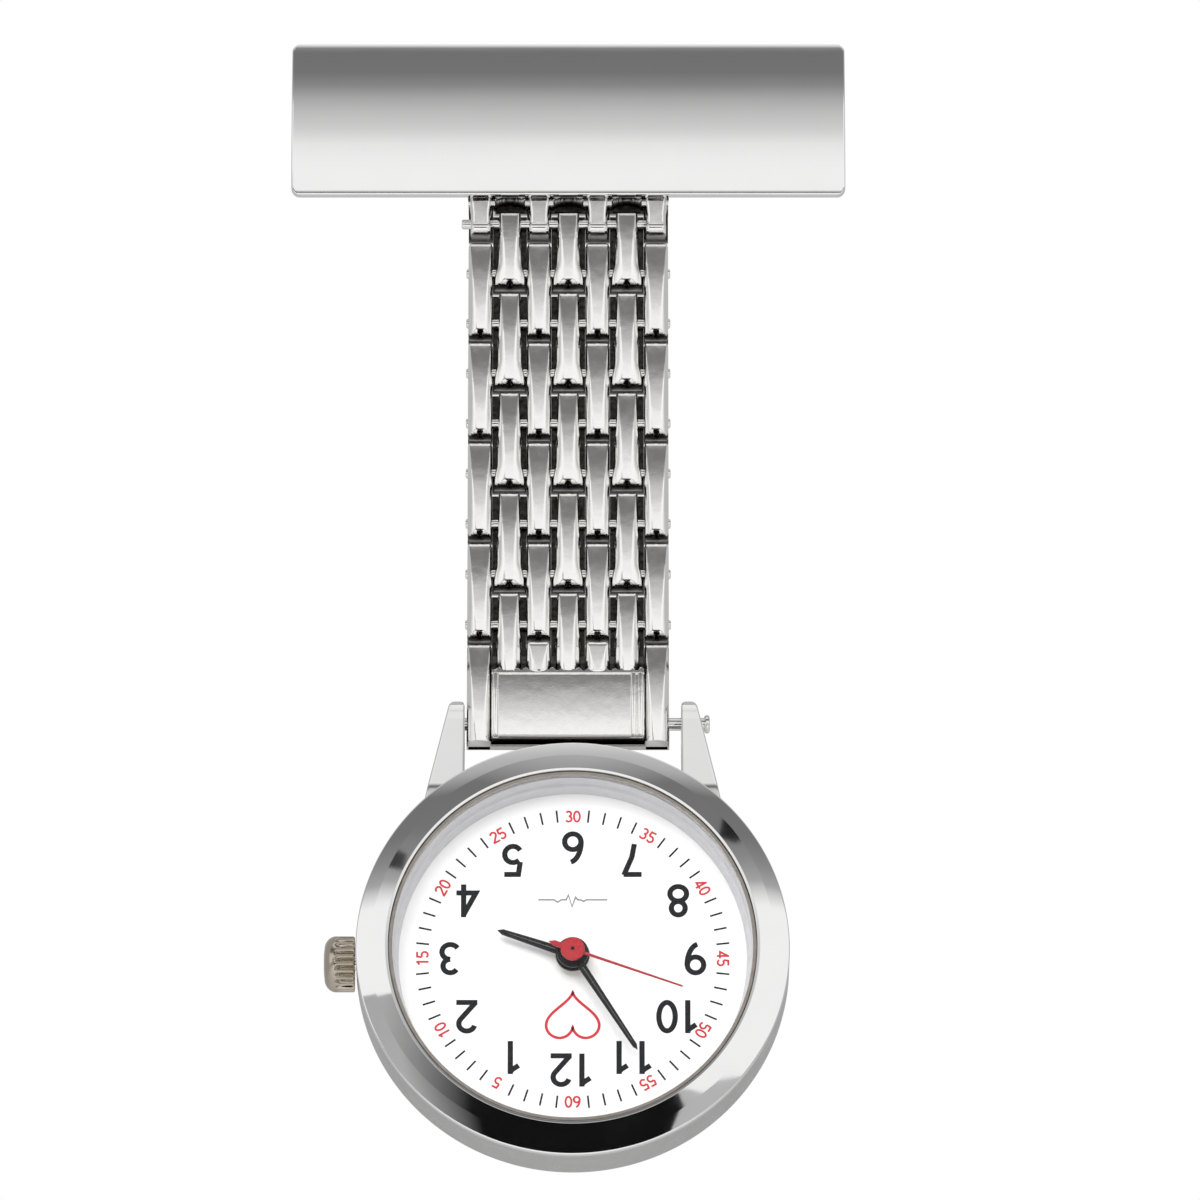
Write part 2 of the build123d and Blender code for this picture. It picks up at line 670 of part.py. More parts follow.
def pinion_level(number):
    """The depths of the pinion that drives the wheel on a level: a little more than the wheel's."""
    start = TRAIN_LEVELS[number]
    return start - 0.04, start + WHEEL_THICKNESS + 0.04


def half_pitch(teeth):
    return 180 / teeth


def intermediate_centre():
    return polar(*INTERMEDIATE_AT)


def rotor_centre():
    x, z = intermediate_centre()
    dx, dz = polar(*ROTOR_AT)
    return x + dx, z + dz


def arbor(x, z, y):
    return disc(SECONDS_ARBOR_RADIUS, y, x, z)


def make_seconds_wheel():
    """The wheel behind the second hand, with the long arbor that carries it."""
    wheel = gear(45, 2 * INTERMEDIATE_AT[0] / 54, level(2), INTERMEDIATE_AT[1])
    wheel += gear(8, 2 * THIRD_WHEEL_AT[0] / 72, pinion_level(1), THIRD_WHEEL_AT[1])
    return wheel + disc(SECONDS_ARBOR_RADIUS, (SECOND_HAND_Y[0], TRAIN_COVER_Y[0]))


def make_third_wheel():
    x, z = polar(*THIRD_WHEEL_AT)
    facing = THIRD_WHEEL_AT[1] + 180
    wheel = gear(64, 2 * THIRD_WHEEL_AT[0] / 72, level(1), facing + half_pitch(64), x, z)
    wheel += gear(8, 2 * THIRD_WHEEL_AT[0] / 68, pinion_level(0), facing, x, z)
    return wheel + arbor(x, z, (PLATE_BACK_Y, TRAIN_COVER_Y[0]))


def make_centre_wheel():
    """Turns once an hour and carries the cannon pinion by friction."""
    phase = THIRD_WHEEL_AT[1] + half_pitch(60)
    return gear(60, 2 * THIRD_WHEEL_AT[0] / 68, level(0), phase, bore=CANNON_RADIUS + 0.02)


def make_intermediate_wheel():
    x, z = intermediate_centre()
    wheel = gear(42, 2 * ROTOR_AT[0] / 49, level(3), ROTOR_AT[1], x, z)
    facing = INTERMEDIATE_AT[1] + 180
    wheel += gear(9, 2 * INTERMEDIATE_AT[0] / 54, pinion_level(2), facing + half_pitch(9), x, z)
    return wheel + arbor(x, z, (PLATE_BACK_Y, TRAIN_COVER_Y[0]))


def make_rotor():
    """The stepping motor's magnet and its pinion."""
    x, z = rotor_centre()
    pinion = gear(7, 2 * ROTOR_AT[0] / 49, pinion_level(3), ROTOR_AT[1] + 180 + half_pitch(7), x, z)
    return pinion + disc(0.6, (-1.9, -1.3), x, z) + arbor(x, z, (PLATE_BACK_Y, TRAIN_COVER_Y[0]))


def make_cannon_pinion():
    """The tube that carries the minute hand, with the pinion that drives the minute wheel."""
    module = 2 * MINUTE_WHEEL_AT[0] / 48
    pinion = gear(12, module, (-3.16, -3.02), MINUTE_WHEEL_AT[1])
    tube = disc(CANNON_RADIUS, (MINUTE_HAND_Y[0], TRAIN_LEVELS[0] + WHEEL_THICKNESS))
    return pinion + tube - disc(SECONDS_ARBOR_RADIUS + 0.04, (-7, 0))


def make_minute_wheel():
    x, z = polar(*MINUTE_WHEEL_AT)
    facing = MINUTE_WHEEL_AT[1] + 180
    wheel = gear(36, 2 * MINUTE_WHEEL_AT[0] / 48, (-3.14, -3.04), facing + half_pitch(36), x, z)
    wheel += gear(10, 2 * MINUTE_WHEEL_AT[0] / 50, (-3.45, -3.14), facing, x, z)
    return wheel - disc(MINUTE_POST_RADIUS + RUNNING_CLEARANCE, (-4, -3), x, z)


def make_hour_wheel():
    """The wheel and tube that carry the hour hand, turning round the cannon pinion."""
    module = 2 * MINUTE_WHEEL_AT[0] / 50
    wheel = gear(40, module, (-3.4, -3.22), MINUTE_WHEEL_AT[1] + half_pitch(40))
    wheel += disc(HOUR_TUBE_RADIUS, (HOUR_HAND_Y[0], -3.22))
    return wheel - disc(CANNON_RADIUS + 0.05, (-7, 0))


def make_movement_ring():
    """The plastic ring that holds the movement in the case."""
    ring = disc(12.9, (DIAL_BACK_Y, -1.05), bore=MOVEMENT_RADIUS + 0.05)
    return ring - rod_x(0.6, (CASE_X - 14, CASE_X - 8), CROWN_Y, CASE_Z)


def make_main_plate():
    """The movement's plate, with pockets for the battery and the stem and a post for the minute wheel."""
    plate = disc(MOVEMENT_RADIUS, (PLATE_FRONT_Y, PLATE_BACK_Y), bore=0.5)
    plate += disc(MINUTE_POST_RADIUS, (-3.45, PLATE_FRONT_Y), *polar(*MINUTE_WHEEL_AT))
    plate += disc(MOVEMENT_RADIUS, (DIAL_BACK_Y, PLATE_FRONT_Y), bore=5.2)
    plate -= disc(BATTERY_RADIUS + 0.05, (-2.55, -1), *BATTERY_AT)
    stem_x = (CASE_X - MOVEMENT_RADIUS - 1, CASE_X - 4)
    plate -= rod_x(0.6, stem_x, CROWN_Y, CASE_Z)
    plate -= block(stem_x, (-4, CROWN_Y), (CASE_Z - 0.6, CASE_Z + 0.6))
    lever_pocket_x = (CASE_X - 9.3, CASE_X - 5.8)
    return plate - block(lever_pocket_x, (-4, PLATE_FRONT_Y), (CASE_Z, CASE_Z + 1.8))


def make_battery():
    return disc(BATTERY_RADIUS, (-2.5, -0.75), *BATTERY_AT)


def make_battery_strap():
    """The sprung steel arm that holds the battery in."""
    arm = block((CASE_X + 2.2, CASE_X + 7.2), (-0.72, -0.52), (CASE_Z - 4.6, CASE_Z - 2.8))
    return arm


def make_coil():
    """The motor's winding on its core."""
    core = block((CASE_X - 5.6, CASE_X + 5.6), (-1.85, -1.35), (CASE_Z + 6.3, CASE_Z + 7.3))
    winding = rod_x(0.62, (CASE_X - 4.4, CASE_X + 4.4), -1.35, CASE_Z + 6.8)
    return core + winding


def make_stator():
    """The motor's pole plate, with the hole that the rotor turns in."""
    x, z = rotor_centre()
    plate = block((CASE_X - 5.6, CASE_X + 5.6), (-1.75, -1.45), (CASE_Z + 3.7, CASE_Z + 6.1))
    plate -= disc(0.75, (-3, 0), x, z)
    keep_clear_x, keep_clear_z = intermediate_centre()
    return plate - disc(0.5, (-3, 0), keep_clear_x, keep_clear_z)


def make_circuit_board():
    board = block((CASE_X - 6.6, CASE_X + 0.6), (-1.0, -0.8), (CASE_Z - 6.6, CASE_Z - 4.2))
    chip = block((CASE_X - 2.2, CASE_X - 0.4), (-1.5, -1.0), (CASE_Z - 6.0, CASE_Z - 4.6))
    return board + chip


def make_quartz_can():
    """The can of the 32 kHz tuning-fork crystal."""
    return rod_x(0.45, (CASE_X - 6.2, CASE_X - 2.6), -1.47, CASE_Z - 5.6)


def make_setting_lever():
    """The lever that sits in the stem's groove."""
    blade = block((CASE_X - 8.3, CASE_X - 7.8), (-3.0, -2.45), (CASE_Z + 0.24, CASE_Z + 0.56))
    arm = block((CASE_X - 8.3, CASE_X - 6.0), (-3.3, -3.0), (CASE_Z + 0.24, CASE_Z + 1.6))
    return blade + arm


def make_train_cover():
    """The bridge over the wheels, clear of the battery."""
    cover = disc(7.6, TRAIN_COVER_Y) - disc(BATTERY_RADIUS + 0.3, (-2, 1), *BATTERY_AT)
    return cover


MAKERS = {
    "bar_cover": make_bar_cover,
    "bar_back_plate": make_back_plate,
    "pin_strip": make_pin_strip,
    "hinge_bracket": make_hinge_bracket,
    "hinge_rivet": make_hinge_rivet,
    "brooch_pin": make_brooch_pin,
    "catch_barrel": make_catch_barrel,
    "catch_sleeve": make_catch_sleeve,
    "strap_top_end": make_top_end_piece,
    "strap_bottom_end": make_bottom_end_piece,
    "lug_pin": make_lug_pin,
    "case_body": make_case_body,
    "bezel": make_bezel,
    "crystal": make_crystal,
    "crystal_gasket": make_crystal_gasket,
    "dial_ring": make_dial_ring,
    "dial": make_dial,
    "case_back": make_case_back,
    "case_back_gasket": make_case_back_gasket,
    "crown": make_crown,
    "crown_gasket": make_crown_gasket,
    "stem": make_stem,
    "hour_hand": make_hour_hand,
    "minute_hand": make_minute_hand,
    "second_hand": make_second_hand,
    "seconds_wheel": make_seconds_wheel,
    "third_wheel": make_third_wheel,
    "centre_wheel": make_centre_wheel,
    "intermediate_wheel": make_intermediate_wheel,
    "rotor": make_rotor,
    "cannon_pinion": make_cannon_pinion,
    "minute_wheel": make_minute_wheel,
    "hour_wheel": make_hour_wheel,
    "movement_ring": make_movement_ring,
    "main_plate": make_main_plate,
    "battery": make_battery,
    "battery_strap": make_battery_strap,
    "coil": make_coil,
    "stator": make_stator,
    "circuit_board": make_circuit_board,
    "quartz_can": make_quartz_can,
    "setting_lever": make_setting_lever,
    "train_cover": make_train_cover,
}

os.makedirs("parts", exist_ok=True)
for name, maker in MAKERS.items():
    export_step(maker(), f"parts/{name}.step")
for number in range(1, PIN_COUNT + 1):
    export_step(make_strap_pin(number), f"parts/strap_pin_{number}.step")
for row in range(1, 5):
    inner_pin = 2 * row - 1
    upper_overhang = SHORT_OVERHANG if row == 1 else LINK_OVERHANG
    inner_row = link_row(INNER_COLUMNS, inner_pin, True, upper_overhang)
    outer_row = link_row(OUTER_COLUMNS, inner_pin + 1, False)
    export_step(inner_row, f"parts/inner_links_{row}.step")
    export_step(outer_row, f"parts/outer_links_{row}.step")
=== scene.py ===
"""A nurse's fob watch: the finished meshes, materials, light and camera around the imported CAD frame."""

import json
import math

import bmesh
import bpy
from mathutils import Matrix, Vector


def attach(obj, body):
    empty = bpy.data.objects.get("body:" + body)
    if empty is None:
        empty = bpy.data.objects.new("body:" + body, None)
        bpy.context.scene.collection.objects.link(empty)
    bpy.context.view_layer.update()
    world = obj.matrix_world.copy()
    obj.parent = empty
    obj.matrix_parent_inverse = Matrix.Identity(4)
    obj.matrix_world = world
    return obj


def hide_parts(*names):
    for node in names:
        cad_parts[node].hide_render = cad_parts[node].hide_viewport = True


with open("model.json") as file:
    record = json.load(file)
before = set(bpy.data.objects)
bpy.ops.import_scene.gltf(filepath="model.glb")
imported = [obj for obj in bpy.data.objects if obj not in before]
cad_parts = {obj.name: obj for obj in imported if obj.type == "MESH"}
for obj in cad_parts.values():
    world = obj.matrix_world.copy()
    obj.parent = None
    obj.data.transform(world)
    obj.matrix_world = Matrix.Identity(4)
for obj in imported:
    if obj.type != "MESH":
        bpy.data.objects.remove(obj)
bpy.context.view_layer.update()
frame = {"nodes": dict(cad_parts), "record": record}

MM = 0.001

# ------------------------------------------------------------------ sizes, in mm (dial faces -Y, +Z is up)
BAR_HALF_WIDTH = 19.6
BAR_HALF_HEIGHT = 5.75
BAR_RADIUS = 25.0
BAR_CROWN_Y = -4.7
BAR_SHEET = 0.6

STRAP_Y = -2.2
FIRST_PIN_Z = -7.31
PIN_SPACING = 3.77
PIN_COUNT = 9
PIN_RADIUS = 0.35
PIN_HALF_LENGTH = 7.2
COLUMN_PITCH = 2.065
INNER_COLUMNS = (-2, 0, 2)
OUTER_COLUMNS = (-3, -1, 1, 3)
LINK_OVERHANG = 1.15
TOP_OVERHANG = 2.25
SHORT_OVERHANG = 0.75
LINK_FRONT = -1.27
LINK_BACK = 1.15
LINK_BOW_RADIUS = 17.0
LINK_BOW_CENTRE = 0.4
SHOULDER_DROP = 0.5
BOTTOM_RIDGE = 0.16
OUTER_HALF = 0.86
INNER_HALF = 0.87
NECK_HALF = 0.78
WING_HALF = 1.08
INNER_FILLER_HALF = 1.195
END_HALF_WIDTH = 7.08
PANEL_HALF_WIDTH = 5.2
PANEL_TOP_Z = -41.1
PANEL_BOTTOM_Z = -46.15
END_BOTTOM_Z = -46.35
LUG_PIN_Z = -44.85
LUG_PIN_RADIUS = 0.45

CASE_X = 0.35
CASE_Z = -62.65
CASE_RADIUS = 15.0
BEZEL_EDGE_Y = -6.4
BEZEL_FRONT_Y = -7.0
BEZEL_INNER_RADIUS = 12.93
BEZEL_SEAT_Y = -6.0
CASE_REAR_Y = -0.2
LUG_INNER_X = 7.55
LUG_TIP_RADIUS = 1.6
LUG_PIN_REACH = 9.1
CRYSTAL_RADIUS = 12.45
DIAL_Y = -3.9
DIAL_RADIUS = 12.05
PRINT_Y = DIAL_Y - 0.012

CROWN_Y = -2.65
CROWN_RADIUS = 1.95
CROWN_LENGTH = 2.1
CROWN_FLUTES = 22
CROWN_BASE_X = CASE_X - CASE_RADIUS - 0.1

HOUR_ANGLE = 109.0
MINUTE_ANGLE = 327.6
SECOND_ANGLE = 289.5


# ------------------------------------------------------------------ node helpers
def new_material(name, metallic=0.0):
    """A material with one Principled shader; returns the material, its nodes and that shader."""
    material = bpy.data.materials.new(name)
    material.use_nodes = True
    tree = material.node_tree
    shader = tree.nodes["Principled BSDF"]
    shader.inputs["Metallic"].default_value = metallic
    return material, tree, shader


def socket_input(tree, node, name, value):
    """Give a node's input a link or a plain value."""
    if isinstance(value, bpy.types.NodeSocket):
        tree.links.new(value, node.inputs[name])
    else:
        node.inputs[name].default_value = value


def noise(tree, feature, stretch=(1, 1, 1), detail=3.0):
    """Noise whose features are about so many mm across, in the watch's own coordinates."""
    place = tree.nodes.new("ShaderNodeTexCoord")
    scale = tree.nodes.new("ShaderNodeMapping")
    scale.inputs["Scale"].default_value = [1.0 / (feature * MM * s) for s in stretch]
    tree.links.new(place.outputs["Object"], scale.inputs["Vector"])
    node = tree.nodes.new("ShaderNodeTexNoise")
    node.inputs["Scale"].default_value = 1.0
    node.inputs["Detail"].default_value = detail
    tree.links.new(scale.outputs["Vector"], node.inputs["Vector"])
    return node.outputs["Fac"]


def remap(tree, value, low, high, start=0.3, end=0.7):
    """Carry a value from the span start..end to low..high."""
    node = tree.nodes.new("ShaderNodeMapRange")
    node.inputs["From Min"].default_value = start
    node.inputs["From Max"].default_value = end
    node.inputs["To Min"].default_value = low
    node.inputs["To Max"].default_value = high
    tree.links.new(value, node.inputs["Value"])
    return node.outputs["Result"]


def mix_colours(tree, factor, first, second):
    node = tree.nodes.new("ShaderNodeMix")
    node.data_type = "RGBA"
    socket_input(tree, node, 0, factor)
    socket_input(tree, node, 6, first)
    socket_input(tree, node, 7, second)
    return node.outputs[2]


def math_node(tree, operation, first, second=0.0):
    node = tree.nodes.new("ShaderNodeMath")
    node.operation = operation
    socket_input(tree, node, 0, first)
    socket_input(tree, node, 1, second)
    return node.outputs[0]


def bump(tree, height, depth, below=None):
    """A bump of so many mm, on top of another bump if one is given."""
    node = tree.nodes.new("ShaderNodeBump")
    node.inputs["Strength"].default_value = 1.0
    node.inputs["Distance"].default_value = depth * MM
    tree.links.new(height, node.inputs["Height"])
    if below is not None:
        tree.links.new(below, node.inputs["Normal"])
    return node.outputs["Normal"]


def rgba(red, green, blue):
    return (red, green, blue, 1.0)


# ------------------------------------------------------------------ materials
def chrome_polished():
    """Mirror chrome with a faint ripple and hairlines, for the bar, bezel and lugs."""
    material, tree, shader = new_material("chrome_polished", metallic=1.0)
    haze = noise(tree, 2.5)
    tint = mix_colours(tree, haze, rgba(0.90, 0.90, 0.895), rgba(0.87, 0.87, 0.868))
    tree.links.new(tint, shader.inputs["Base Color"])
    tree.links.new(remap(tree, haze, 0.03, 0.07), shader.inputs["Roughness"])
    ripple = bump(tree, noise(tree, 4.0, detail=1.0), 0.006)
    hairlines = bump(tree, noise(tree, 0.05, (30, 1, 1)), 0.00015, ripple)
    tree.links.new(hairlines, shader.inputs["Normal"])
    return material


def chrome_cast():
    """Plated castings of the strap, darkened to a near-black brown by the value stored on each piece: painted
    shade in recesses, gaps and link ends, with grime in the notches.
    """
    material, tree, shader = new_material("chrome_cast", metallic=1.0)
    grime = tree.nodes.new("ShaderNodeAttribute")
    grime.attribute_name = "grime"
    speckle = noise(tree, 0.35)
    plain_chrome = mix_colours(tree, speckle, rgba(0.98, 0.97, 0.95), rgba(0.91, 0.90, 0.88))
    # The stored value mixes in near-black brown: painted shade in recesses, gaps and link ends, and grime in
    # the notches.
    darkening = math_node(tree, "MULTIPLY", grime.outputs["Fac"], remap(tree, speckle, 0.92, 1.0))
    colour = mix_colours(tree, darkening, plain_chrome, rgba(0.018, 0.014, 0.010))
    tree.links.new(colour, shader.inputs["Base Color"])
    polish = remap(tree, noise(tree, 0.8), 0.07, 0.18)
    dull = math_node(tree, "MULTIPLY", darkening, 0.45)
    tree.links.new(math_node(tree, "MAXIMUM", polish, dull), shader.inputs["Roughness"])
    waves = bump(tree, noise(tree, 1.1, detail=1.0), 0.02)
    grain = bump(tree, noise(tree, 0.2, detail=2.0), 0.003, waves)
    tree.links.new(grain, shader.inputs["Normal"])
    return material


def chrome_grained():
    """The cast panel at the strap's foot: the same chrome with a coarse sparkling grain."""
    material = chrome_cast()
    material.name = "chrome_grained"
    tree = material.node_tree
    shader = tree.nodes["Principled BSDF"]
    below = shader.inputs["Normal"].links[0].from_socket
    tree.links.new(bump(tree, noise(tree, 0.13, detail=3.0), 0.0035, below), shader.inputs["Normal"])
    return material


def steel_satin():
    material, tree, shader = new_material("steel_satin", metallic=1.0)
    cloud = noise(tree, 1.5)
    tint = mix_colours(tree, cloud, rgba(0.64, 0.64, 0.635), rgba(0.56, 0.56, 0.555))
    tree.links.new(tint, shader.inputs["Base Color"])
    tree.links.new(remap(tree, cloud, 0.24, 0.38), shader.inputs["Roughness"])
    tree.links.new(bump(tree, noise(tree, 0.06, (1, 8, 1)), 0.0012), shader.inputs["Normal"])
    return material


def plain_metal(name, light, dark, roughness, feature=0.5, depth=0.001):
    material, tree, shader = new_material(name, metallic=1.0)
    cloud = noise(tree, feature)
    tree.links.new(mix_colours(tree, cloud, rgba(*light), rgba(*dark)), shader.inputs["Base Color"])
    tree.links.new(remap(tree, cloud, *roughness), shader.inputs["Roughness"])
    tree.links.new(bump(tree, noise(tree, feature / 5), depth), shader.inputs["Normal"])
    return material


def plain_coating(name, light, dark, roughness, feature=0.6, depth=0.001, coat=0.0, shine=0.5):
    """Paint, plastic, rubber or ink: a small change of colour, gloss and surface."""
    material, tree, shader = new_material(name)
    cloud = noise(tree, feature)
    tree.links.new(mix_colours(tree, cloud, rgba(*light), rgba(*dark)), shader.inputs["Base Color"])
    tree.links.new(remap(tree, cloud, *roughness), shader.inputs["Roughness"])
    tree.links.new(bump(tree, noise(tree, feature / 4), depth), shader.inputs["Normal"])
    shader.inputs["Specular IOR Level"].default_value = shine
    shader.inputs["Coat Weight"].default_value = coat
    shader.inputs["Coat Roughness"].default_value = 0.05
    return material


def crystal_glass():
    """Mineral glass, thin enough to look straight through, with its surface reflection."""
    material, tree, shader = new_material("crystal_glass", metallic=1.0)
    shader.inputs["Base Color"].default_value = rgba(0.95, 0.97, 0.98)
    smear = noise(tree, 5.0)
    tree.links.new(remap(tree, smear, 0.01, 0.05), shader.inputs["Roughness"])
    clear = tree.nodes.new("ShaderNodeBsdfTransparent")
    slant = tree.nodes.new("ShaderNodeLayerWeight")
    slant.inputs["Blend"].default_value = 0.5
    steep = math_node(tree, "MULTIPLY", math_node(tree, "POWER", slant.outputs["Facing"], 5.0), 0.9)
    share = math_node(tree, "ADD", steep, 0.014)
    mix = tree.nodes.new("ShaderNodeMixShader")
    tree.links.new(share, mix.inputs["Fac"])
    tree.links.new(clear.outputs["BSDF"], mix.inputs[1])
    tree.links.new(shader.outputs["BSDF"], mix.inputs[2])
    tree.links.new(mix.outputs["Shader"], tree.nodes["Material Output"].inputs["Surface"])
    return material


MATERIALS = {
    "chrome_polished": chrome_polished(),
    "chrome_cast": chrome_cast(),
    "chrome_grained": chrome_grained(),
    "steel_satin": steel_satin(),
    "steel_pin": plain_metal("steel_pin", (0.86, 0.86, 0.85), (0.78, 0.78, 0.77), (0.08, 0.16)),
    "nickel": plain_metal("nickel", (0.60, 0.54, 0.45), (0.44, 0.39, 0.32), (0.1, 0.2), 0.7),
    "crystal_glass": crystal_glass(),
    "gasket_nylon": plain_coating("gasket_nylon", (0.26, 0.235, 0.21), (0.14, 0.125, 0.11), (0.35, 0.5)),
    "gasket_rubber": plain_coating("gasket_rubber", (0.05, 0.05, 0.05), (0.03, 0.03, 0.03), (0.6, 0.8)),
    "ring_silver": plain_coating("ring_silver", (0.66, 0.66, 0.68), (0.58, 0.58, 0.60), (0.4, 0.55), 0.8),
    "dial_white": plain_coating(
        "dial_white", (0.93, 0.93, 0.925), (0.90, 0.90, 0.895), (0.4, 0.5), 1.2, 0.0004
    ),
    "hand_black": plain_coating(
        "hand_black", (0.004, 0.004, 0.005), (0.008, 0.008, 0.008), (0.25, 0.4), shine=0.3
    ),
    "hand_red": plain_coating(
        "hand_red", (0.42, 0.010, 0.018), (0.34, 0.008, 0.015), (0.25, 0.4), coat=0.2
    ),
    "brass_wheel": plain_metal("brass_wheel", (0.83, 0.66, 0.32), (0.74, 0.57, 0.25), (0.22, 0.36)),
    "movement_plastic": plain_coating("movement_plastic", (0.12, 0.12, 0.13), (0.09, 0.09, 0.1), (0.5, 0.65)),
    "holder_plastic": plain_coating("holder_plastic", (0.85, 0.85, 0.82), (0.78, 0.78, 0.75), (0.4, 0.55)),
    "copper_coil": plain_metal("copper_coil", (0.76, 0.38, 0.20), (0.58, 0.26, 0.12), (0.3, 0.5), 0.15, 0.02),
    "board_green": plain_coating("board_green", (0.04, 0.24, 0.11), (0.03, 0.18, 0.08), (0.35, 0.5)),
    "ink_black": plain_coating(
        "ink_black", (0.006, 0.006, 0.008), (0.014, 0.014, 0.016), (0.5, 0.65), 0.3, shine=0.1
    ),
    "ink_red": plain_coating("ink_red", (0.60, 0.025, 0.04), (0.5, 0.02, 0.03), (0.4, 0.55), 0.3),
    "ink_grey": plain_coating("ink_grey", (0.22, 0.22, 0.23), (0.3, 0.3, 0.31), (0.4, 0.55), 0.3),
    # Lighter grey for the strip along the black hands: a painted highlight.
    "hand_highlight": plain_coating("hand_highlight", (0.16, 0.16, 0.17), (0.1, 0.1, 0.11), (0.3, 0.4)),
}


# ------------------------------------------------------------------ mesh helpers
def new_object(name, data):
    """An object linked into the scene."""
    made = bpy.data.objects.new(name, data)
    bpy.context.scene.collection.objects.link(made)
    return made


def add_piece(name, mesh_parts, material, body, replaced=(), sharp=32.0, grime=None):
    """One piece from [(points, faces), ...] in mm, given its body and the slot of its material;
    the darkening function (x, y, z) is stored for the cast chrome: painted shade in recesses and gaps, with
    grime in the notches."""
    points = []
    faces = []
    for part_points, part_faces in mesh_parts:
        start = len(points)
        points.extend(part_points)
        faces.extend([tuple(start + index for index in face) for face in part_faces])
    mesh = bpy.data.meshes.new(name)
    mesh.from_pydata([tuple(MM * value for value in point) for point in points], [], faces)
    work = bmesh.new()
    work.from_mesh(mesh)
    bmesh.ops.remove_doubles(work, verts=work.verts, dist=1e-7)
    bmesh.ops.dissolve_degenerate(work, edges=work.edges, dist=1e-7)
    bmesh.ops.recalc_face_normals(work, faces=work.faces)
    work.to_mesh(mesh)
    work.free()
    mesh.shade_smooth()
    mesh.set_sharp_from_angle(angle=math.radians(sharp))
    # Store the painted shade of recesses and gaps, with the notches' grime, as a per-vertex value.
    if grime is not None:
        layer = mesh.attributes.new("grime", "FLOAT", "POINT")
        for vertex, value in zip(mesh.vertices, layer.data):
            value.value = grime(*(vertex.co / MM))
    mesh.materials.append(MATERIALS[material])
    piece = new_object(name, mesh)
    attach(piece, body)
    if replaced:
        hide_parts(*replaced)
    return piece


def loft(rings, closed_ends=True):
    """Faces through equal rings of points; the rings are closed."""
    count = len(rings[0])
    points = [point for ring in rings for point in ring]
    faces = []
    for row in range(len(rings) - 1):
        here = row * count
        below = here + count
        for index in range(count):
            after = (index + 1) % count
            faces.append((here + index, here + after, below + after, below + index))
    if closed_ends:
        last = (len(rings) - 1) * count
        faces.append(tuple(range(count)))
        faces.append(tuple(range(last, last + count)))
    return points, faces


def rounded_outline(corners, steps=5):
    """A closed outline from (x, y, corner radius) corners, each corner cut by an arc."""
    outline = []
    for index, (x, y, radius) in enumerate(corners):
        here = Vector((x, y))
        before = Vector(corners[index - 1][:2]) - here
        after = Vector(corners[(index + 1) % len(corners)][:2]) - here
        if radius <= 0 or before.length < 1e-6 or after.length < 1e-6:
            outline.append((x, y))
            continue
        half_angle = before.angle(after) / 2
        reach = min(radius / math.tan(half_angle), before.length * 0.49, after.length * 0.49)
        start = here + before.normalized() * reach
        end = here + after.normalized() * reach
        for step in range(steps + 1):
            t = step / steps
            bend = (1 - t) ** 2 * start + 2 * t * (1 - t) * here + t ** 2 * end
            outline.append((bend.x, bend.y))
    return outline


def turned(outline, segments=256):
    """A closed (radius, y) outline turned about the watch's own centre line."""
    rings = []
    for segment in range(segments + 1):
        angle = 2 * math.pi * segment / segments
        across = math.cos(angle)
        up = math.sin(angle)
        rings.append([(CASE_X + radius * across, y, CASE_Z + radius * up) for radius, y in outline])
    return loft(rings, closed_ends=False)


def add_turned(name, material, replaced, corners, steps=5, sharp=32.0, segments=256):
    """A piece of the case turned from (radius, y, corner radius) corners."""
    shape = turned(rounded_outline(corners, steps), segments)
    return add_piece(name, [shape], material, "case", [replaced], sharp)


def rod(radius, x_start, x_end, y, z, segments=32, round_end=0.12):
    """A round bar along X with softened ends."""
    end_profile = [(0.0, round_end), (round_end * 0.3, round_end * 0.3), (round_end, 0.0)]
    outline = [(x_start + inwards, radius - cut) for inwards, cut in end_profile]
    outline += [(x_end - inwards, radius - cut) for inwards, cut in reversed(end_profile)]
    rings = []
    for x, ring_radius in outline:
        ring = []
        for segment in range(segments):
            angle = 2 * math.pi * segment / segments
            ring.append((x, y + ring_radius * math.cos(angle), z + ring_radius * math.sin(angle)))
        rings.append(ring)
    return loft(rings)


def relief(stations, fractions, half_width, front, back, centre=0.0):
    """A solid seen from the front: at each height a strip from -half to +half with its own front surface.
    The centre is a place in x, or a function of the height where the strip wanders."""
    rings = []
    for z in stations:
        half = half_width(z)
        middle = centre(z) if callable(centre) else centre
        front_points = [(middle + half * f, front(half * f, z), z) for f in fractions]
        back_points = [(middle + half * f, back(z), z) for f in reversed(fractions)]
        rings.append(front_points + back_points)
    return loft(rings)


def steps_between(start, end, count):
    return [start + (end - start) * index / count for index in range(count + 1)]


def stations_with_round_ends(top, bottom, middle_steps=14, round_length=0.5):
    """Heights from top to bottom, close together where the ends are rounded."""
    near = [0.0, 0.01, 0.03, 0.07, 0.13, 0.2, 0.28, 0.38, round_length]
    upper = [top - distance for distance in near]
    lower = [bottom + distance for distance in reversed(near)]
    middle = steps_between(upper[-1], lower[0], middle_steps)[1:-1]
    return upper + middle + lower


def crown_fractions(count=36):
    """Fractions across a strip from -1 to 1, closer together at both sides."""
    return [math.sin(math.pi / 2 * (2 * index / count - 1)) for index in range(count + 1)]


def smooth_max(first, second, blend=0.07):
    """The larger of two depths with a rounded edge where they meet."""
    gap = max(blend - abs(first - second), 0.0) / blend
    return max(first, second) + gap * gap * blend / 4


def quarter_round(distance, length):
    """0 away from an edge, rising to 1 at the edge along a quarter of a circle."""
    if distance >= length:
        return 0.0
    inward = 1 - max(distance, 0.0) / length
    return 1 - math.sqrt(max(1 - inward * inward, 0.0))


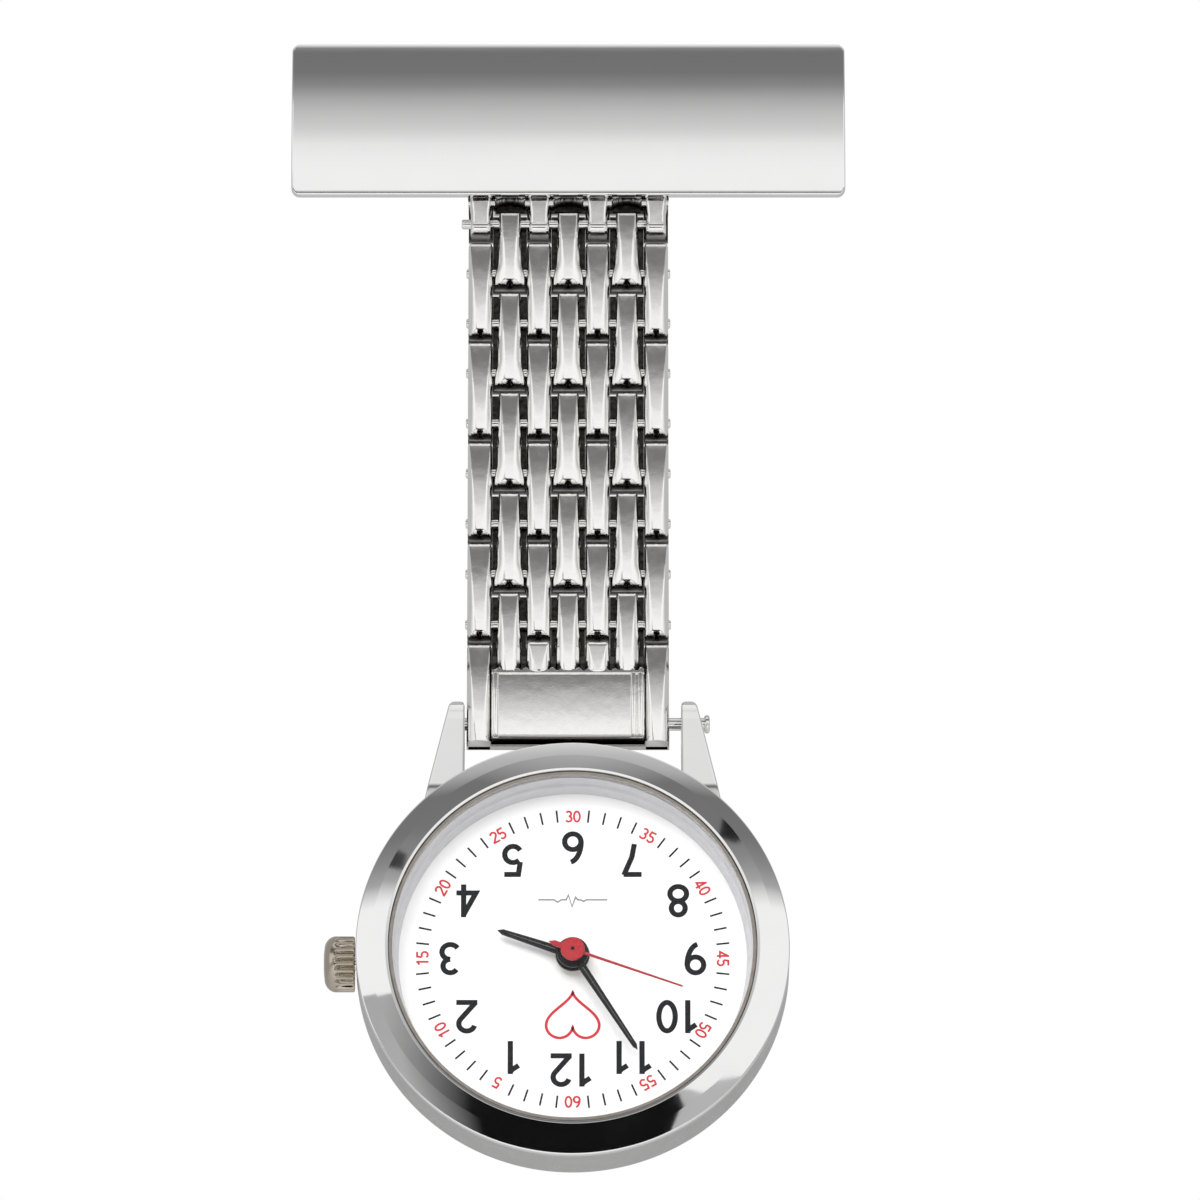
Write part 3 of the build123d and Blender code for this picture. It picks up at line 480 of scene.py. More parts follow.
def between(value, low, high):
    """0 below low, 1 above high, smooth between."""
    t = min(max((value - low) / (high - low), 0.0), 1.0)
    return t * t * (3 - 2 * t)


# ------------------------------------------------------------------ bar
def bar_arc(radius, z):
    return BAR_CROWN_Y + BAR_RADIUS - math.sqrt(radius * radius - z * z)


def build_bar():
    """The curved cover: a sheet bowed about X, with a rolled rim."""
    rim = 0.14
    corner = 0.6
    edge = [0, 0.006, 0.02, 0.045, 0.08, rim]
    upper = [BAR_HALF_HEIGHT - distance for distance in edge]
    middle = steps_between(BAR_HALF_HEIGHT - rim, -BAR_HALF_HEIGHT + rim, 60)[1:-1]
    stations = upper + middle + [-z for z in reversed(upper)]
    left = [-BAR_HALF_WIDTH + distance for distance in edge + [rim + 0.05]]
    flat_reach = BAR_HALF_WIDTH - rim - 0.2
    sides = left + steps_between(-flat_reach, flat_reach, 24) + [-x for x in reversed(left)]
    fractions = [x / BAR_HALF_WIDTH for x in sides]

    def half_width(z):
        inset = quarter_round(BAR_HALF_HEIGHT - abs(z), corner) * corner
        return BAR_HALF_WIDTH - inset

    def front(x, z):
        roll = quarter_round(BAR_HALF_HEIGHT - abs(z), rim)
        roll = max(roll, quarter_round(half_width(z) - abs(x), rim))
        return bar_arc(BAR_RADIUS, z) + roll * rim

    def back(z):
        return bar_arc(BAR_RADIUS, z) + BAR_SHEET

    cover = relief(stations, fractions, half_width, front, back)
    add_piece("bar_cover_shell", [cover], "chrome_polished", "bar", ["bar_cover"], sharp=40)


# ------------------------------------------------------------------ strap
def strap_pin_z(number):
    return FIRST_PIN_Z - PIN_SPACING * (number - 1)


def link_front(x, z, top, bottom, half, ridge_half, notch=True, square_bottom=False):
    """Depth of a link's front surface, relative to the strap's middle: a bowed ridge that narrows downwards
    between two sloping flanks, rounded at its ends and sides, with a notch in its foot."""
    edge_round = 0.15
    notch_half = 0.22
    notch_height = 0.26
    crest = bottom + LINK_BOW_CENTRE * (top - bottom)
    bow = (z - crest) ** 2 / (2 * LINK_BOW_RADIUS)
    profile = LINK_FRONT + bow + 0.7 * quarter_round(top - z, 0.45)
    if not square_bottom:
        profile += 0.9 * quarter_round(z - bottom, 0.4)
    across = max(abs(x) - ridge_half, 0.0) / (max(half, INNER_HALF) - ridge_half)
    flank = SHOULDER_DROP * (0.35 * across + 0.65 * across * across)
    shoulder = LINK_FRONT + min(flank, SHOULDER_DROP + 0.05)
    depth = smooth_max(profile, shoulder + bow, 0.04)
    depth += edge_round * quarter_round(half - abs(x), edge_round)
    if notch:
        inside = between(notch_half - abs(x), 0.0, 0.12) * between(bottom + notch_height - z, 0.0, 0.16)
        depth += inside * max(-depth, 0.0)
    return depth


def link_back(z, top, bottom):
    return LINK_BACK - 0.5 * quarter_round(top - z, 0.4) - 0.1 * quarter_round(z - bottom, 0.1)


def filler(column, top, bottom, half):
    """The sunk plate behind a link that closes the gaps around it, darkened with its piece as painted shade
    in those gaps; its foot hangs lower at the back.
    """
    x = column * COLUMN_PITCH
    skirt = 0.08
    front_depth = 0.42
    middle_depth = 0.8
    profile = [
        (front_depth, 0.0),
        (middle_depth, skirt * 0.55),
        (LINK_BACK - 0.08, skirt),
        (LINK_BACK, skirt - 0.05),
    ]
    rings = []
    for depth, drop in profile:
        low = bottom - drop
        high = top - 0.02 - 0.3 * (depth - front_depth)
        corners = [(x - half, low), (x + half, low), (x + half, high), (x - half, high)]
        rings.append([(corner_x, STRAP_Y + depth, corner_z) for corner_x, corner_z in corners])
    return loft(rings)


def link_mesh(column, top, bottom, notch=True, square_bottom=False):
    """One link of the strap; inner links have a slimmer neck and flare at the foot."""
    is_inner = column in INNER_COLUMNS
    neck_end = top - TOP_OVERHANG - 0.35
    top_ridge = 0.56 if is_inner else 0.74

    def half_width(z):
        if not is_inner:
            return OUTER_HALF - 0.42 * quarter_round(top - z, 0.5) - 0.1 * quarter_round(z - bottom, 0.2)
        half = NECK_HALF + (INNER_HALF - NECK_HALF) * between(neck_end - z, 0.0, 1.2)
        half -= 0.3 * quarter_round(top - z, 0.45)
        if square_bottom:
            return half
        return half + (WING_HALF - INNER_HALF) * between(bottom + 1.7 - z, 0.0, 1.1)

    def ridge(z):
        down = (top - z) / (top - bottom)
        return top_ridge + (BOTTOM_RIDGE - top_ridge) * down

    def front(offset, z):
        half = half_width(z)
        core = min(half, INNER_HALF) if is_inner else OUTER_HALF
        ridge_half = min(ridge(z), core - 0.1)
        return STRAP_Y + link_front(offset, z, top, bottom, half, ridge_half, notch, square_bottom)

    def back(z):
        return STRAP_Y + link_back(z, top, bottom)

    stations = stations_with_round_ends(top, bottom)
    return relief(stations, crown_fractions(), half_width, front, back, column * COLUMN_PITCH)


def on_front(depth):
    """1 on what shows from the front of the strap, 0 on its back, which is left undarkened."""
    return 1.0 - between(depth, 0.75, 1.05)


def row_grime(top, bottom):
    """Near-black brown in the notches, at the links' ends and down their sides, for links between two
    heights: painted shade of these recesses and gaps, with grime in the notches.
    """

    def grime(x, y, z):
        depth = y - STRAP_Y
        # Deeper faces darker, less so along the middle of a link, full at both ends: painted shade.
        middle = min(between(z, bottom + 0.2, bottom + 0.7), between(top - 1.0 - z, 0.0, 0.5))
        darkening = between(depth, -0.6 + 0.3 * middle, 0.3 + 0.3 * middle) * (1.0 - 0.8 * middle)
        darkening = max(darkening, between(z, top - 0.16, top - 0.04))
        if z <= bottom + 0.2:
            darkening = max(darkening, between(depth, -0.75, -0.45))
        return darkening * on_front(depth)

    return grime


def build_rows():
    """Four rows of three inner links, each followed by a row of four outer links."""
    for row in range(8):
        pair = row // 2 + 1
        is_inner = row % 2 == 0
        kind = "inner" if is_inner else "outer"
        columns = INNER_COLUMNS if is_inner else OUTER_COLUMNS
        filler_half = INNER_FILLER_HALF if is_inner else OUTER_HALF
        top = strap_pin_z(row + 1) + (SHORT_OVERHANG if row == 0 else TOP_OVERHANG)
        bottom = strap_pin_z(row + 2) - LINK_OVERHANG
        links = [link_mesh(column, top, bottom) for column in columns]
        links += [filler(column, top, bottom, filler_half) for column in columns]
        name = f"{kind}_links_{pair}"
        grime = row_grime(top, bottom)
        add_piece(f"{name}_cast", links, "chrome_cast", f"{kind}_row_{pair}", [name], grime=grime)


def build_pins():
    for number in range(1, PIN_COUNT + 1):
        shift = -0.35 if number == 1 else 0.0
        body = "bar" if number == 1 else f"outer_row_{number // 2}"
        pin = rod(PIN_RADIUS, shift - PIN_HALF_LENGTH, shift + PIN_HALF_LENGTH, STRAP_Y, strap_pin_z(number))
        add_piece(f"strap_pin_{number}_turned", [pin], "steel_pin", body, [f"strap_pin_{number}"])


def build_top_end():
    """Four prongs on the first pin, an arched web between them and the block behind the bar."""
    block_top = -2.2
    block_front_y = -2.78
    prong_top = -4.2
    prong_bottom = FIRST_PIN_Z - 1.0
    cap_top = prong_bottom + 0.8
    web_top = -4.4
    web_bottom = -6.25
    web_front = STRAP_Y + LINK_FRONT + 0.2
    hollow_top = -5.95
    hollow_half = 1.05
    parts = []

    def prong_half(z):
        return OUTER_HALF + 0.1 - 0.26 * between(-4.7 - z, 0.0, 2.4)

    def prong_front(x, z):
        bow = 0.02 * (z - cap_top) ** 2
        return STRAP_Y + LINK_FRONT + bow + 0.5 * quarter_round(prong_half(z) - abs(x), 0.3)

    def cap_half(z):
        return 0.72 - 0.25 * quarter_round(cap_top - z, 0.3) - 0.06 * quarter_round(z - prong_bottom, 0.2)

    def cap_front(x, z):
        rounding = 0.5 * quarter_round(z - prong_bottom, 0.4) + 0.3 * quarter_round(cap_top - z, 0.4)
        return STRAP_Y + LINK_FRONT - 0.03 + rounding + 0.35 * quarter_round(cap_half(z) - abs(x), 0.35)

    for column in OUTER_COLUMNS:
        for stations, half_width, front, back_depth in (
            (steps_between(prong_top, cap_top - 0.1, 20), prong_half, prong_front, 0.4),
            (stations_with_round_ends(cap_top, prong_bottom, 4, 0.4), cap_half, cap_front, 0.45),
        ):
            parts.append(
                relief(
                    stations,
                    crown_fractions(24),
                    half_width,
                    front,
                    lambda z, back_depth=back_depth: STRAP_Y + back_depth,
                    column * COLUMN_PITCH,
                )
            )
        parts.append(filler(column, prong_top, prong_bottom, OUTER_HALF))

    def web_face(x, z):
        nearest = min(INNER_COLUMNS, key=lambda column: abs(column * COLUMN_PITCH - x))
        offset = (x - nearest * COLUMN_PITCH) / hollow_half
        arch = hollow_top + 0.32 * math.sqrt(max(1 - offset * offset, 0.0))
        hollow = between(arch - z, 0.0, 0.12) if abs(offset) < 1 else 0.0
        return web_front + hollow * 1.5 + 0.15 * quarter_round(z - web_bottom, 0.15)

    parts.append(
        relief(
            steps_between(web_top, web_bottom, 44),
            steps_between(-1.0, 1.0, 240),
            lambda z: END_HALF_WIDTH,
            web_face,
            lambda z: STRAP_Y + LINK_BACK,
        )
    )
    parts.append(
        relief(
            stations_with_round_ends(block_top, web_top + 0.3, 3, 0.3),
            crown_fractions(12),
            lambda z: END_HALF_WIDTH,
            lambda x, z: block_front_y,
            lambda z: STRAP_Y + LINK_BACK,
        )
    )

    # Painted shade: the deeper faces of the top end, the web's hollows and the sunk plates, are darkened.
    def grime(x, y, z):
        depth = y - STRAP_Y
        return between(depth, -0.95, -0.1) * on_front(depth)

    add_piece("strap_top_end_cast", parts, "chrome_cast", "bar", ["strap_top_end"], grime=grime)


def build_bottom_end():
    """Fingers on the last pin, side rails, the framed panel, and plates at its foot in front of and behind
    the lug pin.
    """
    last_pin = strap_pin_z(PIN_COUNT)
    finger_top = last_pin + TOP_OVERHANG
    rail_top = last_pin - 1.5
    finger_bottom = PANEL_TOP_Z - 0.1
    filler_bottom = PANEL_TOP_Z - 0.3
    parts = []
    for column in INNER_COLUMNS:
        parts.append(link_mesh(column, finger_top, finger_bottom, notch=False, square_bottom=True))
        parts.append(filler(column, finger_top, filler_bottom, INNER_FILLER_HALF))
    for column in OUTER_COLUMNS:
        is_rail = abs(column) == 3
        bottom = END_BOTTOM_Z if is_rail else finger_bottom
        parts.append(link_mesh(column, rail_top, bottom, notch=False, square_bottom=True))
        parts.append(filler(column, rail_top, filler_bottom, OUTER_HALF))
    parts.append(
        relief(
            steps_between(rail_top - 0.95, PANEL_TOP_Z, 6),
            crown_fractions(8),
            lambda z: END_HALF_WIDTH - 0.05,
            lambda x, z: STRAP_Y - 0.3,
            lambda z: STRAP_Y + LINK_BACK - 0.3 * quarter_round(z - END_BOTTOM_Z, 0.3),
        )
    )

    def foot_plate(front_depth, back_depth, lift, half):
        return relief(
            stations_with_round_ends(END_BOTTOM_Z + 1.3, END_BOTTOM_Z + lift, 2, 0.12),
            crown_fractions(16),
            lambda z: half,
            lambda x, z: STRAP_Y + front_depth + 0.1 * quarter_round(z - END_BOTTOM_Z, 0.1),
            lambda z: STRAP_Y + back_depth,
        )

    parts.append(foot_plate(-0.98, -0.62, 0.3, 5.3))
    parts.append(foot_plate(0.35, LINK_BACK, 0.0, END_HALF_WIDTH))

    # Painted shade: deeper faces, the back plate's foot and the band where the fingers meet the panel are
    # darkened.
    def grime(x, y, z):
        depth = y - STRAP_Y
        darkening = between(depth, -0.85, -0.2)
        if z < END_BOTTOM_Z + 0.2 and depth > 0.3:
            return 0.35
        if PANEL_TOP_Z - 0.1 < z < PANEL_TOP_Z + 0.6 and depth > -1.0:
            darkening = 1.0
        return darkening * on_front(depth)

    add_piece("strap_bottom_end_cast", parts, "chrome_cast", "strap_end", ["strap_bottom_end"], grime=grime)

    crest_z = END_BOTTOM_Z + 2.4

    def scallop(x):
        wave = 0.1 * math.sin(x * 2 * math.pi / 0.62) + 0.05 * math.sin(x * 2 * math.pi / 1.7)
        return PANEL_TOP_Z + 0.05 + wave

    def panel_face(x, z):
        level = -1.12 + (z - crest_z) ** 2 / 31.0
        rise = 0.2 * between(z, PANEL_TOP_Z - 0.34, PANEL_TOP_Z - 0.26) * between(scallop(x) - z, 0.0, 0.06)
        for rib in (-PANEL_HALF_WIDTH + 0.15, PANEL_HALF_WIDTH - 0.15, PANEL_HALF_WIDTH - 0.62):
            rise = max(rise, 0.18 * math.sqrt(max(1 - ((x - rib) / 0.2) ** 2, 0.0)))
        drop = 0.8 * between(z - scallop(x), 0.0, 0.05)
        return STRAP_Y + level - rise + drop + 0.2 * quarter_round(z - PANEL_BOTTOM_Z, 0.2)

    panel_top = PANEL_TOP_Z + 0.22
    stations = steps_between(panel_top, PANEL_TOP_Z - 0.45, 24)
    stations += steps_between(PANEL_TOP_Z - 0.5, PANEL_BOTTOM_Z + 0.25, 16)
    stations += [PANEL_BOTTOM_Z + step for step in (0.2, 0.14, 0.08, 0.04, 0.01, 0.0)]
    panel = relief(
        stations,
        steps_between(-1.0, 1.0, 300),
        lambda z: PANEL_HALF_WIDTH + 0.12,
        panel_face,
        lambda z: STRAP_Y - 0.62,
    )

    # Painted shade: the panel's faces behind its front level, above the scalloped edge, are darkened.
    def panel_grime(x, y, z):
        return between(y - STRAP_Y, -0.95, -0.75)

    add_piece("strap_panel", [panel], "chrome_grained", "strap_end", grime=panel_grime)


def build_lug_pin():
    left = CASE_X - LUG_PIN_REACH + 0.4
    right = CASE_X + LUG_PIN_REACH
    shank = rod(LUG_PIN_RADIUS, left, right + 0.1, STRAP_Y, LUG_PIN_Z)
    head = rod(LUG_PIN_RADIUS + 0.2, right + 0.05, right + 0.45, STRAP_Y, LUG_PIN_Z, round_end=0.18)
    add_piece("lug_pin_turned", [shank, head], "steel_pin", "case", ["lug_pin"])


# ------------------------------------------------------------------ case
def build_case():
    add_turned(
        "case_middle",
        "steel_satin",
        "case_body",
        [
            (CASE_RADIUS, -2.3, 0.6), (CASE_RADIUS, BEZEL_SEAT_Y + 0.06, 0.03),
            (CASE_RADIUS - 0.12, BEZEL_SEAT_Y + 0.03, 0.02),
            (CASE_RADIUS - 0.12, BEZEL_SEAT_Y, 0.0), (13.2, BEZEL_SEAT_Y, 0.0),
            (13.0, CASE_REAR_Y, 0.0), (13.4, CASE_REAR_Y, 0.1), (14.62, -1.1, 1.2),
        ],
        sharp=30,
    )


def build_lugs():
    """Two slim lugs that widen from the pin down to the case."""
    parts = []
    pin_y = STRAP_Y
    root_z = CASE_Z + 11.0
    shoulder_z = CASE_Z + 11.85
    tip = LUG_PIN_Z + LUG_TIP_RADIUS
    for hand in (-1, 1):

        def outer_edge(z):
            return 1.0 + 1.6 * max(tip - z, 0.0) / 7.8

        def half_edge(z):
            return outer_edge(z) / 2 * (1 - 0.8 * quarter_round(tip - z, 0.75))

        def lug_face(x, z, hand=hand):
            up = max((z - shoulder_z) / (LUG_PIN_Z + 0.2 - shoulder_z), 0.0)
            level = -6.1 + (6.1 + pin_y - LUG_TIP_RADIUS) * up
            if z > LUG_PIN_Z:
                tip_face = pin_y - math.sqrt(max(LUG_TIP_RADIUS ** 2 - (z - LUG_PIN_Z) ** 2, 0.0))
                level = smooth_max(level, tip_face, 0.15)
            return level + 0.14 * quarter_round(half_edge(z) - abs(x), 0.14)

        def lug_rear(z):
            if z > LUG_PIN_Z:
                return pin_y + math.sqrt(max(LUG_TIP_RADIUS ** 2 - (z - LUG_PIN_Z) ** 2, 0.0))
            return -0.6 - 1.8 * (LUG_PIN_Z - z) / (LUG_PIN_Z - root_z)

        stations = [tip - LUG_TIP_RADIUS * (1 - math.cos(math.radians(a))) for a in range(0, 84, 6)]
        stations += steps_between(LUG_PIN_Z, root_z, 30)
        parts.append(
            relief(
                stations,
                crown_fractions(24),
                half_edge,
                lug_face,
                lug_rear,
                lambda z, hand=hand: CASE_X + hand * (LUG_INNER_X + outer_edge(z) / 2),
            )
        )
    add_piece("lugs", parts, "chrome_polished", "case", ["case_body"], sharp=30)


def build_bezel_and_back():
    add_turned(
        "bezel_ring",
        "chrome_polished",
        "bezel",
        [
            (CASE_RADIUS, BEZEL_SEAT_Y, 0.03), (CASE_RADIUS, BEZEL_EDGE_Y + 0.02, 0.16),
            ((CASE_RADIUS + BEZEL_INNER_RADIUS) / 2, (BEZEL_EDGE_Y + BEZEL_FRONT_Y) / 2 - 0.008, 2.0),
            (BEZEL_INNER_RADIUS, BEZEL_FRONT_Y, 0.08), (12.76, BEZEL_FRONT_Y + 0.03, 0.03),
            (12.72, BEZEL_FRONT_Y + 0.2, 0.03), (12.7, -6.1, 0.0), (13.2, BEZEL_SEAT_Y, 0.0),
        ],
        steps=8,
        sharp=50,
        segments=360,
    )
    add_turned(
        "case_back_turned",
        "steel_satin",
        "case_back",
        [
            (0.001, 0.8, 0.0), (0.001, -0.15, 0.0), (12.3, -0.15, 0.1), (12.94, CASE_REAR_Y, 0.0),
            (13.3, CASE_REAR_Y, 0.05), (13.3, 0.05, 0.15), (12.2, 0.55, 0.4), (11.2, 0.8, 0.3),
        ],
    )


def build_crystal_and_rings():
    glass = add_turned(
        "crystal_ground",
        "crystal_glass",
        "crystal",
        [
            (0.001, -7.1, 0.0), (CRYSTAL_RADIUS - 0.12, -7.1, 0.02), (CRYSTAL_RADIUS, -6.98, 0.02),
            (CRYSTAL_RADIUS, -6.42, 0.02), (0.001, -6.42, 0.0),
        ],
    )
    glass.visible_shadow = False
    add_turned(
        "crystal_gasket_ring",
        "gasket_nylon",
        "crystal_gasket",
        [(12.69, -6.86, 0.05), (12.69, -6.4, 0.0), (12.46, -6.4, 0.0), (12.46, -6.9, 0.05)],
    )
    add_turned(
        "dial_ring_turned",
        "ring_silver",
        "dial_ring",
        [
            (12.86, DIAL_Y, 0.0), (12.86, -6.05, 0.0), (12.5, -6.05, 0.06), (12.4, -5.1, 0.06),
            (12.22, -5.0, 0.05), (DIAL_RADIUS, DIAL_Y, 0.02),
        ],
    )
    add_turned(
        "dial_plate",
        "dial_white",
        "dial",
        [(0.9, DIAL_Y, 0.0), (12.86, DIAL_Y, 0.0), (12.86, -3.56, 0.0), (0.9, -3.56, 0.0)],
    )


# ------------------------------------------------------------------ dial print
def arc(cx, cy, rx, ry, start, end, count=14):
    """Points along part of an ellipse, angles in degrees from the right, upwards positive."""
    points = []
    for step in range(count + 1):
        angle = math.radians(start + (end - start) * step / count)
        points.append((cx + rx * math.cos(angle), cy + ry * math.sin(angle)))
    return points


# Strokes of each digit in a box 1 high, centred on x = 0.
DIGITS = {
    "0": [arc(0, 0.5, 0.225, 0.43, 90, 450, 32)],
    "1": [[(-0.17, 0.74), (0.0, 0.86), (0.06, 0.93)], [(0.06, 1.0), (0.06, 0.0)]],
    "2": [arc(0, 0.715, 0.22, 0.22, 165, -40) + [(-0.24, 0.07)], [(-0.29, 0.07), (0.29, 0.07)]],
    "3": [arc(-0.01, 0.725, 0.2, 0.205, 150, -90), arc(-0.01, 0.295, 0.23, 0.225, 90, -150)],
    "4": [[(0.3, 0.26), (-0.24, 0.26), (0.1, 0.93)], [(0.1, 1.0), (0.1, 0.0)]],
    "5": [[(0.24, 0.93), (-0.15, 0.93), (-0.2, 0.55)], arc(0, 0.32, 0.23, 0.25, 135, -150)],
    "6": [arc(0, 0.31, 0.225, 0.24, 90, 450, 28), arc(0.1, 0.31, 0.33, 0.63, 98, 182)],
    "7": [[(-0.25, 0.93), (0.25, 0.93)], [(0.24, 0.95), (0.02, 0.4), (-0.05, 0.0)]],
    "8": [arc(0, 0.725, 0.19, 0.205, 90, 450, 26), arc(0, 0.285, 0.23, 0.22, 90, 450, 28)],
    "9": [arc(0, 0.69, 0.225, 0.24, 90, 450, 28), arc(-0.1, 0.69, 0.33, 0.63, -82, 2)],
}


def stroke(path, width):
    """A flat ribbon of even width along a path of (x, y) points."""
    left = []
    right = []
    closed = math.dist(path[0], path[-1]) < 1e-6
    last = len(path) - 1
    for index, (x, y) in enumerate(path):
        before = path[index - 1] if index > 0 else (path[-2] if closed else path[0])
        after = path[index + 1] if index < last else (path[1] if closed else path[last])
        first = Vector((x - before[0], y - before[1]))
        second = Vector((after[0] - x, after[1] - y))
        if first.length < 1e-9:
            first = second
        if second.length < 1e-9:
            second = first
        direction = (first.normalized() + second.normalized()).normalized()
        normal = Vector((-direction.y, direction.x))
        side = Vector((-first.normalized().y, first.normalized().x))
        reach = width / 2 / max(normal.dot(side), 0.5)
        left.append((x + normal.x * reach, y + normal.y * reach))
        right.append((x - normal.x * reach, y - normal.y * reach))
    points = left + right
    count = len(path)
    faces = [(index, index + 1, count + index + 1, count + index) for index in range(count - 1)]
    return points, faces


def watch_point(x, up, depth, turn, middle=(0.0, 0.0)):
    """A point of the dial's face, as the dial is read, turned clockwise about a middle; its top is at -Z."""
    cosine = math.cos(math.radians(turn))
    sine = math.sin(math.radians(turn))
    dial_x = middle[0] + x * cosine + up * sine
    dial_y = middle[1] - x * sine + up * cosine
    return (CASE_X - dial_x, depth, CASE_Z - dial_y)


def on_dial(points, faces, right, up, turn=0.0):
    """Place flat print with its middle at (right, up)."""
    return [watch_point(x, y, PRINT_Y, turn, (right, up)) for x, y in points], faces


def number_print(text, height, line, right, up, turn=0.0, spacing=0.66):
    """A number's strokes, centred on a point of the dial."""
    parts = []
    for index, digit in enumerate(text):
        shift = (index - (len(text) - 1) / 2) * spacing * height
        for path in DIGITS[digit]:
            scaled = [(x * height * 1.05 + shift, (y - 0.5) * height) for x, y in path]
            points, faces = stroke(scaled, line)
            parts.append(on_dial(points, faces, right, up, turn))
    return parts


def clock_point(radius, angle):
    """(right, up) on the dial for a clock angle in degrees from 12."""
    return radius * math.sin(math.radians(angle)), radius * math.cos(math.radians(angle))


def spread_in_depth(parts):
    """Keep crossing strokes from lying in one plane: each sits a little higher than the last."""
    lifted = []
    for order, (points, faces) in enumerate(parts):
        lift = 0.0008 * (order % 4)
        lifted.append(([(x, y - lift, z) for x, y, z in points], faces))
    return lifted


def build_print():
    hours = []
    for hour in range(1, 13):
        angle = hour * 30.0
        radius = 8.1 + 0.4 * abs(math.sin(math.radians(angle)))
        right, up = clock_point(radius, angle)
        hours += number_print(str(hour), 2.4, 0.37, right, up)
    add_piece("hour_numerals", spread_in_depth(hours), "ink_black", "case")
    ticks = []
    for minute in range(60):
        if minute % 5 == 0:
            continue
        angle = minute * 6.0
        right, up = clock_point(10.45, angle)
        ticks.append(on_dial(*stroke([(0, -0.45), (0, 0.45)], 0.13), right, up, angle))
    add_piece("minute_ticks", ticks, "ink_black", "case")
    minutes = []
    for step in range(1, 13):
        angle = step * 30.0
        right, up = clock_point(10.4, angle)
        minutes += number_print(str(step * 5), 0.86, 0.14, right, up, angle)
    add_piece("minute_numerals", spread_in_depth(minutes), "ink_red", "case")
    pulse = [
        (-2.4, 0), (-0.95, 0), (-0.75, 0.12), (-0.55, 0), (-0.35, 0), (-0.2, -0.2), (0.05, 0.5),
        (0.3, -0.36), (0.45, 0), (0.8, 0), (1.05, 0.18), (1.3, 0), (2.4, 0),
    ]
    add_piece("pulse_line", [on_dial(*stroke(pulse, 0.12), 0.0, -4.3)], "ink_grey", "case")
    heart = []
    for step in range(65):
        t = 2 * math.pi * step / 64
        x = 16 * math.sin(t) ** 3
        y = 13 * math.cos(t) - 5 * math.cos(2 * t) - 2 * math.cos(3 * t) - math.cos(4 * t)
        heart.append((x * 0.115, y * 0.115))
    add_piece("heart_outline", [on_dial(*stroke(heart, 0.2), 0.0, 4.4)], "ink_red", "case")


# ------------------------------------------------------------------ hands
def hand_blade(start, length, root, tip, y_front, y_back, angle):
    """A tapering blade with bevelled sides, pointing to a clock angle."""
    rings = []
    heights = [start, start + 0.05, length - tip, length - tip * 0.4, length]
    for height in heights:
        along = (height - start) / (length - start)
        half = (root + (tip - root) * along) / 2
        if height > length - tip:
            half *= max((length - height) / tip, 0.05)
        bevel = min(0.05, half * 0.5)
        shoulder = y_front + 0.04
        left = [(-half, y_back), (-half, shoulder), (-half + bevel, y_front)]
        section = left + [(-x, y) for x, y in reversed(left)]
        rings.append([(x, y, height) for x, y in section])
    points, faces = loft(rings)
    return [watch_point(x, height, y, angle) for x, y, height in points], faces


def hub(radius, y_front, y_back, bore=0.001, edge=0.05):
    outline = rounded_outline(
        [(bore, y_back, 0.0), (radius, y_back, 0.0), (radius, y_front, edge), (bore, y_front, 0.0)]
    )
    return turned(outline, 64)


def build_hands():
    hour = [hand_blade(0.9, 5.5, 0.62, 0.36, -4.85, -4.65, HOUR_ANGLE), hub(1.18, -4.85, -4.65, 0.75)]
    add_piece("hour_hand_blade", hour, "hand_black", "hour_work", ["hour_hand"])
    minute = [hand_blade(0.9, 8.35, 0.56, 0.32, -5.4, -5.22, MINUTE_ANGLE), hub(1.1, -5.4, -5.22, 0.35)]
    add_piece("minute_hand_blade", minute, "hand_black", "minute_work", ["minute_hand"])
    # A lighter grey strip along the middle of each black hand: a painted highlight.
    for name, body, length, front, angle in (
        ("hour_hand_highlight_strip", "hour_work", 4.7, -4.856, HOUR_ANGLE),
        ("minute_hand_highlight_strip", "minute_work", 7.6, -5.406, MINUTE_ANGLE),
    ):
        line = hand_blade(1.3, length, 0.09, 0.05, front, front + 0.01, angle)
        add_piece(name, [line], "hand_highlight", body)
    second = [
        hand_blade(0.5, 8.1, 0.2, 0.12, -6.08, -5.96, SECOND_ANGLE),
        hand_blade(0.5, 1.75, 0.42, 0.36, -6.08, -5.96, SECOND_ANGLE + 180),
        hub(0.835, -6.2, -5.96, edge=0.08),
    ]
    add_piece("second_hand_blade", second, "hand_red", "second_work", ["second_hand"])
    add_piece("second_arbor_tip", [hub(0.13, -6.23, -6.19, edge=0.03)], "ink_black", "second_work")


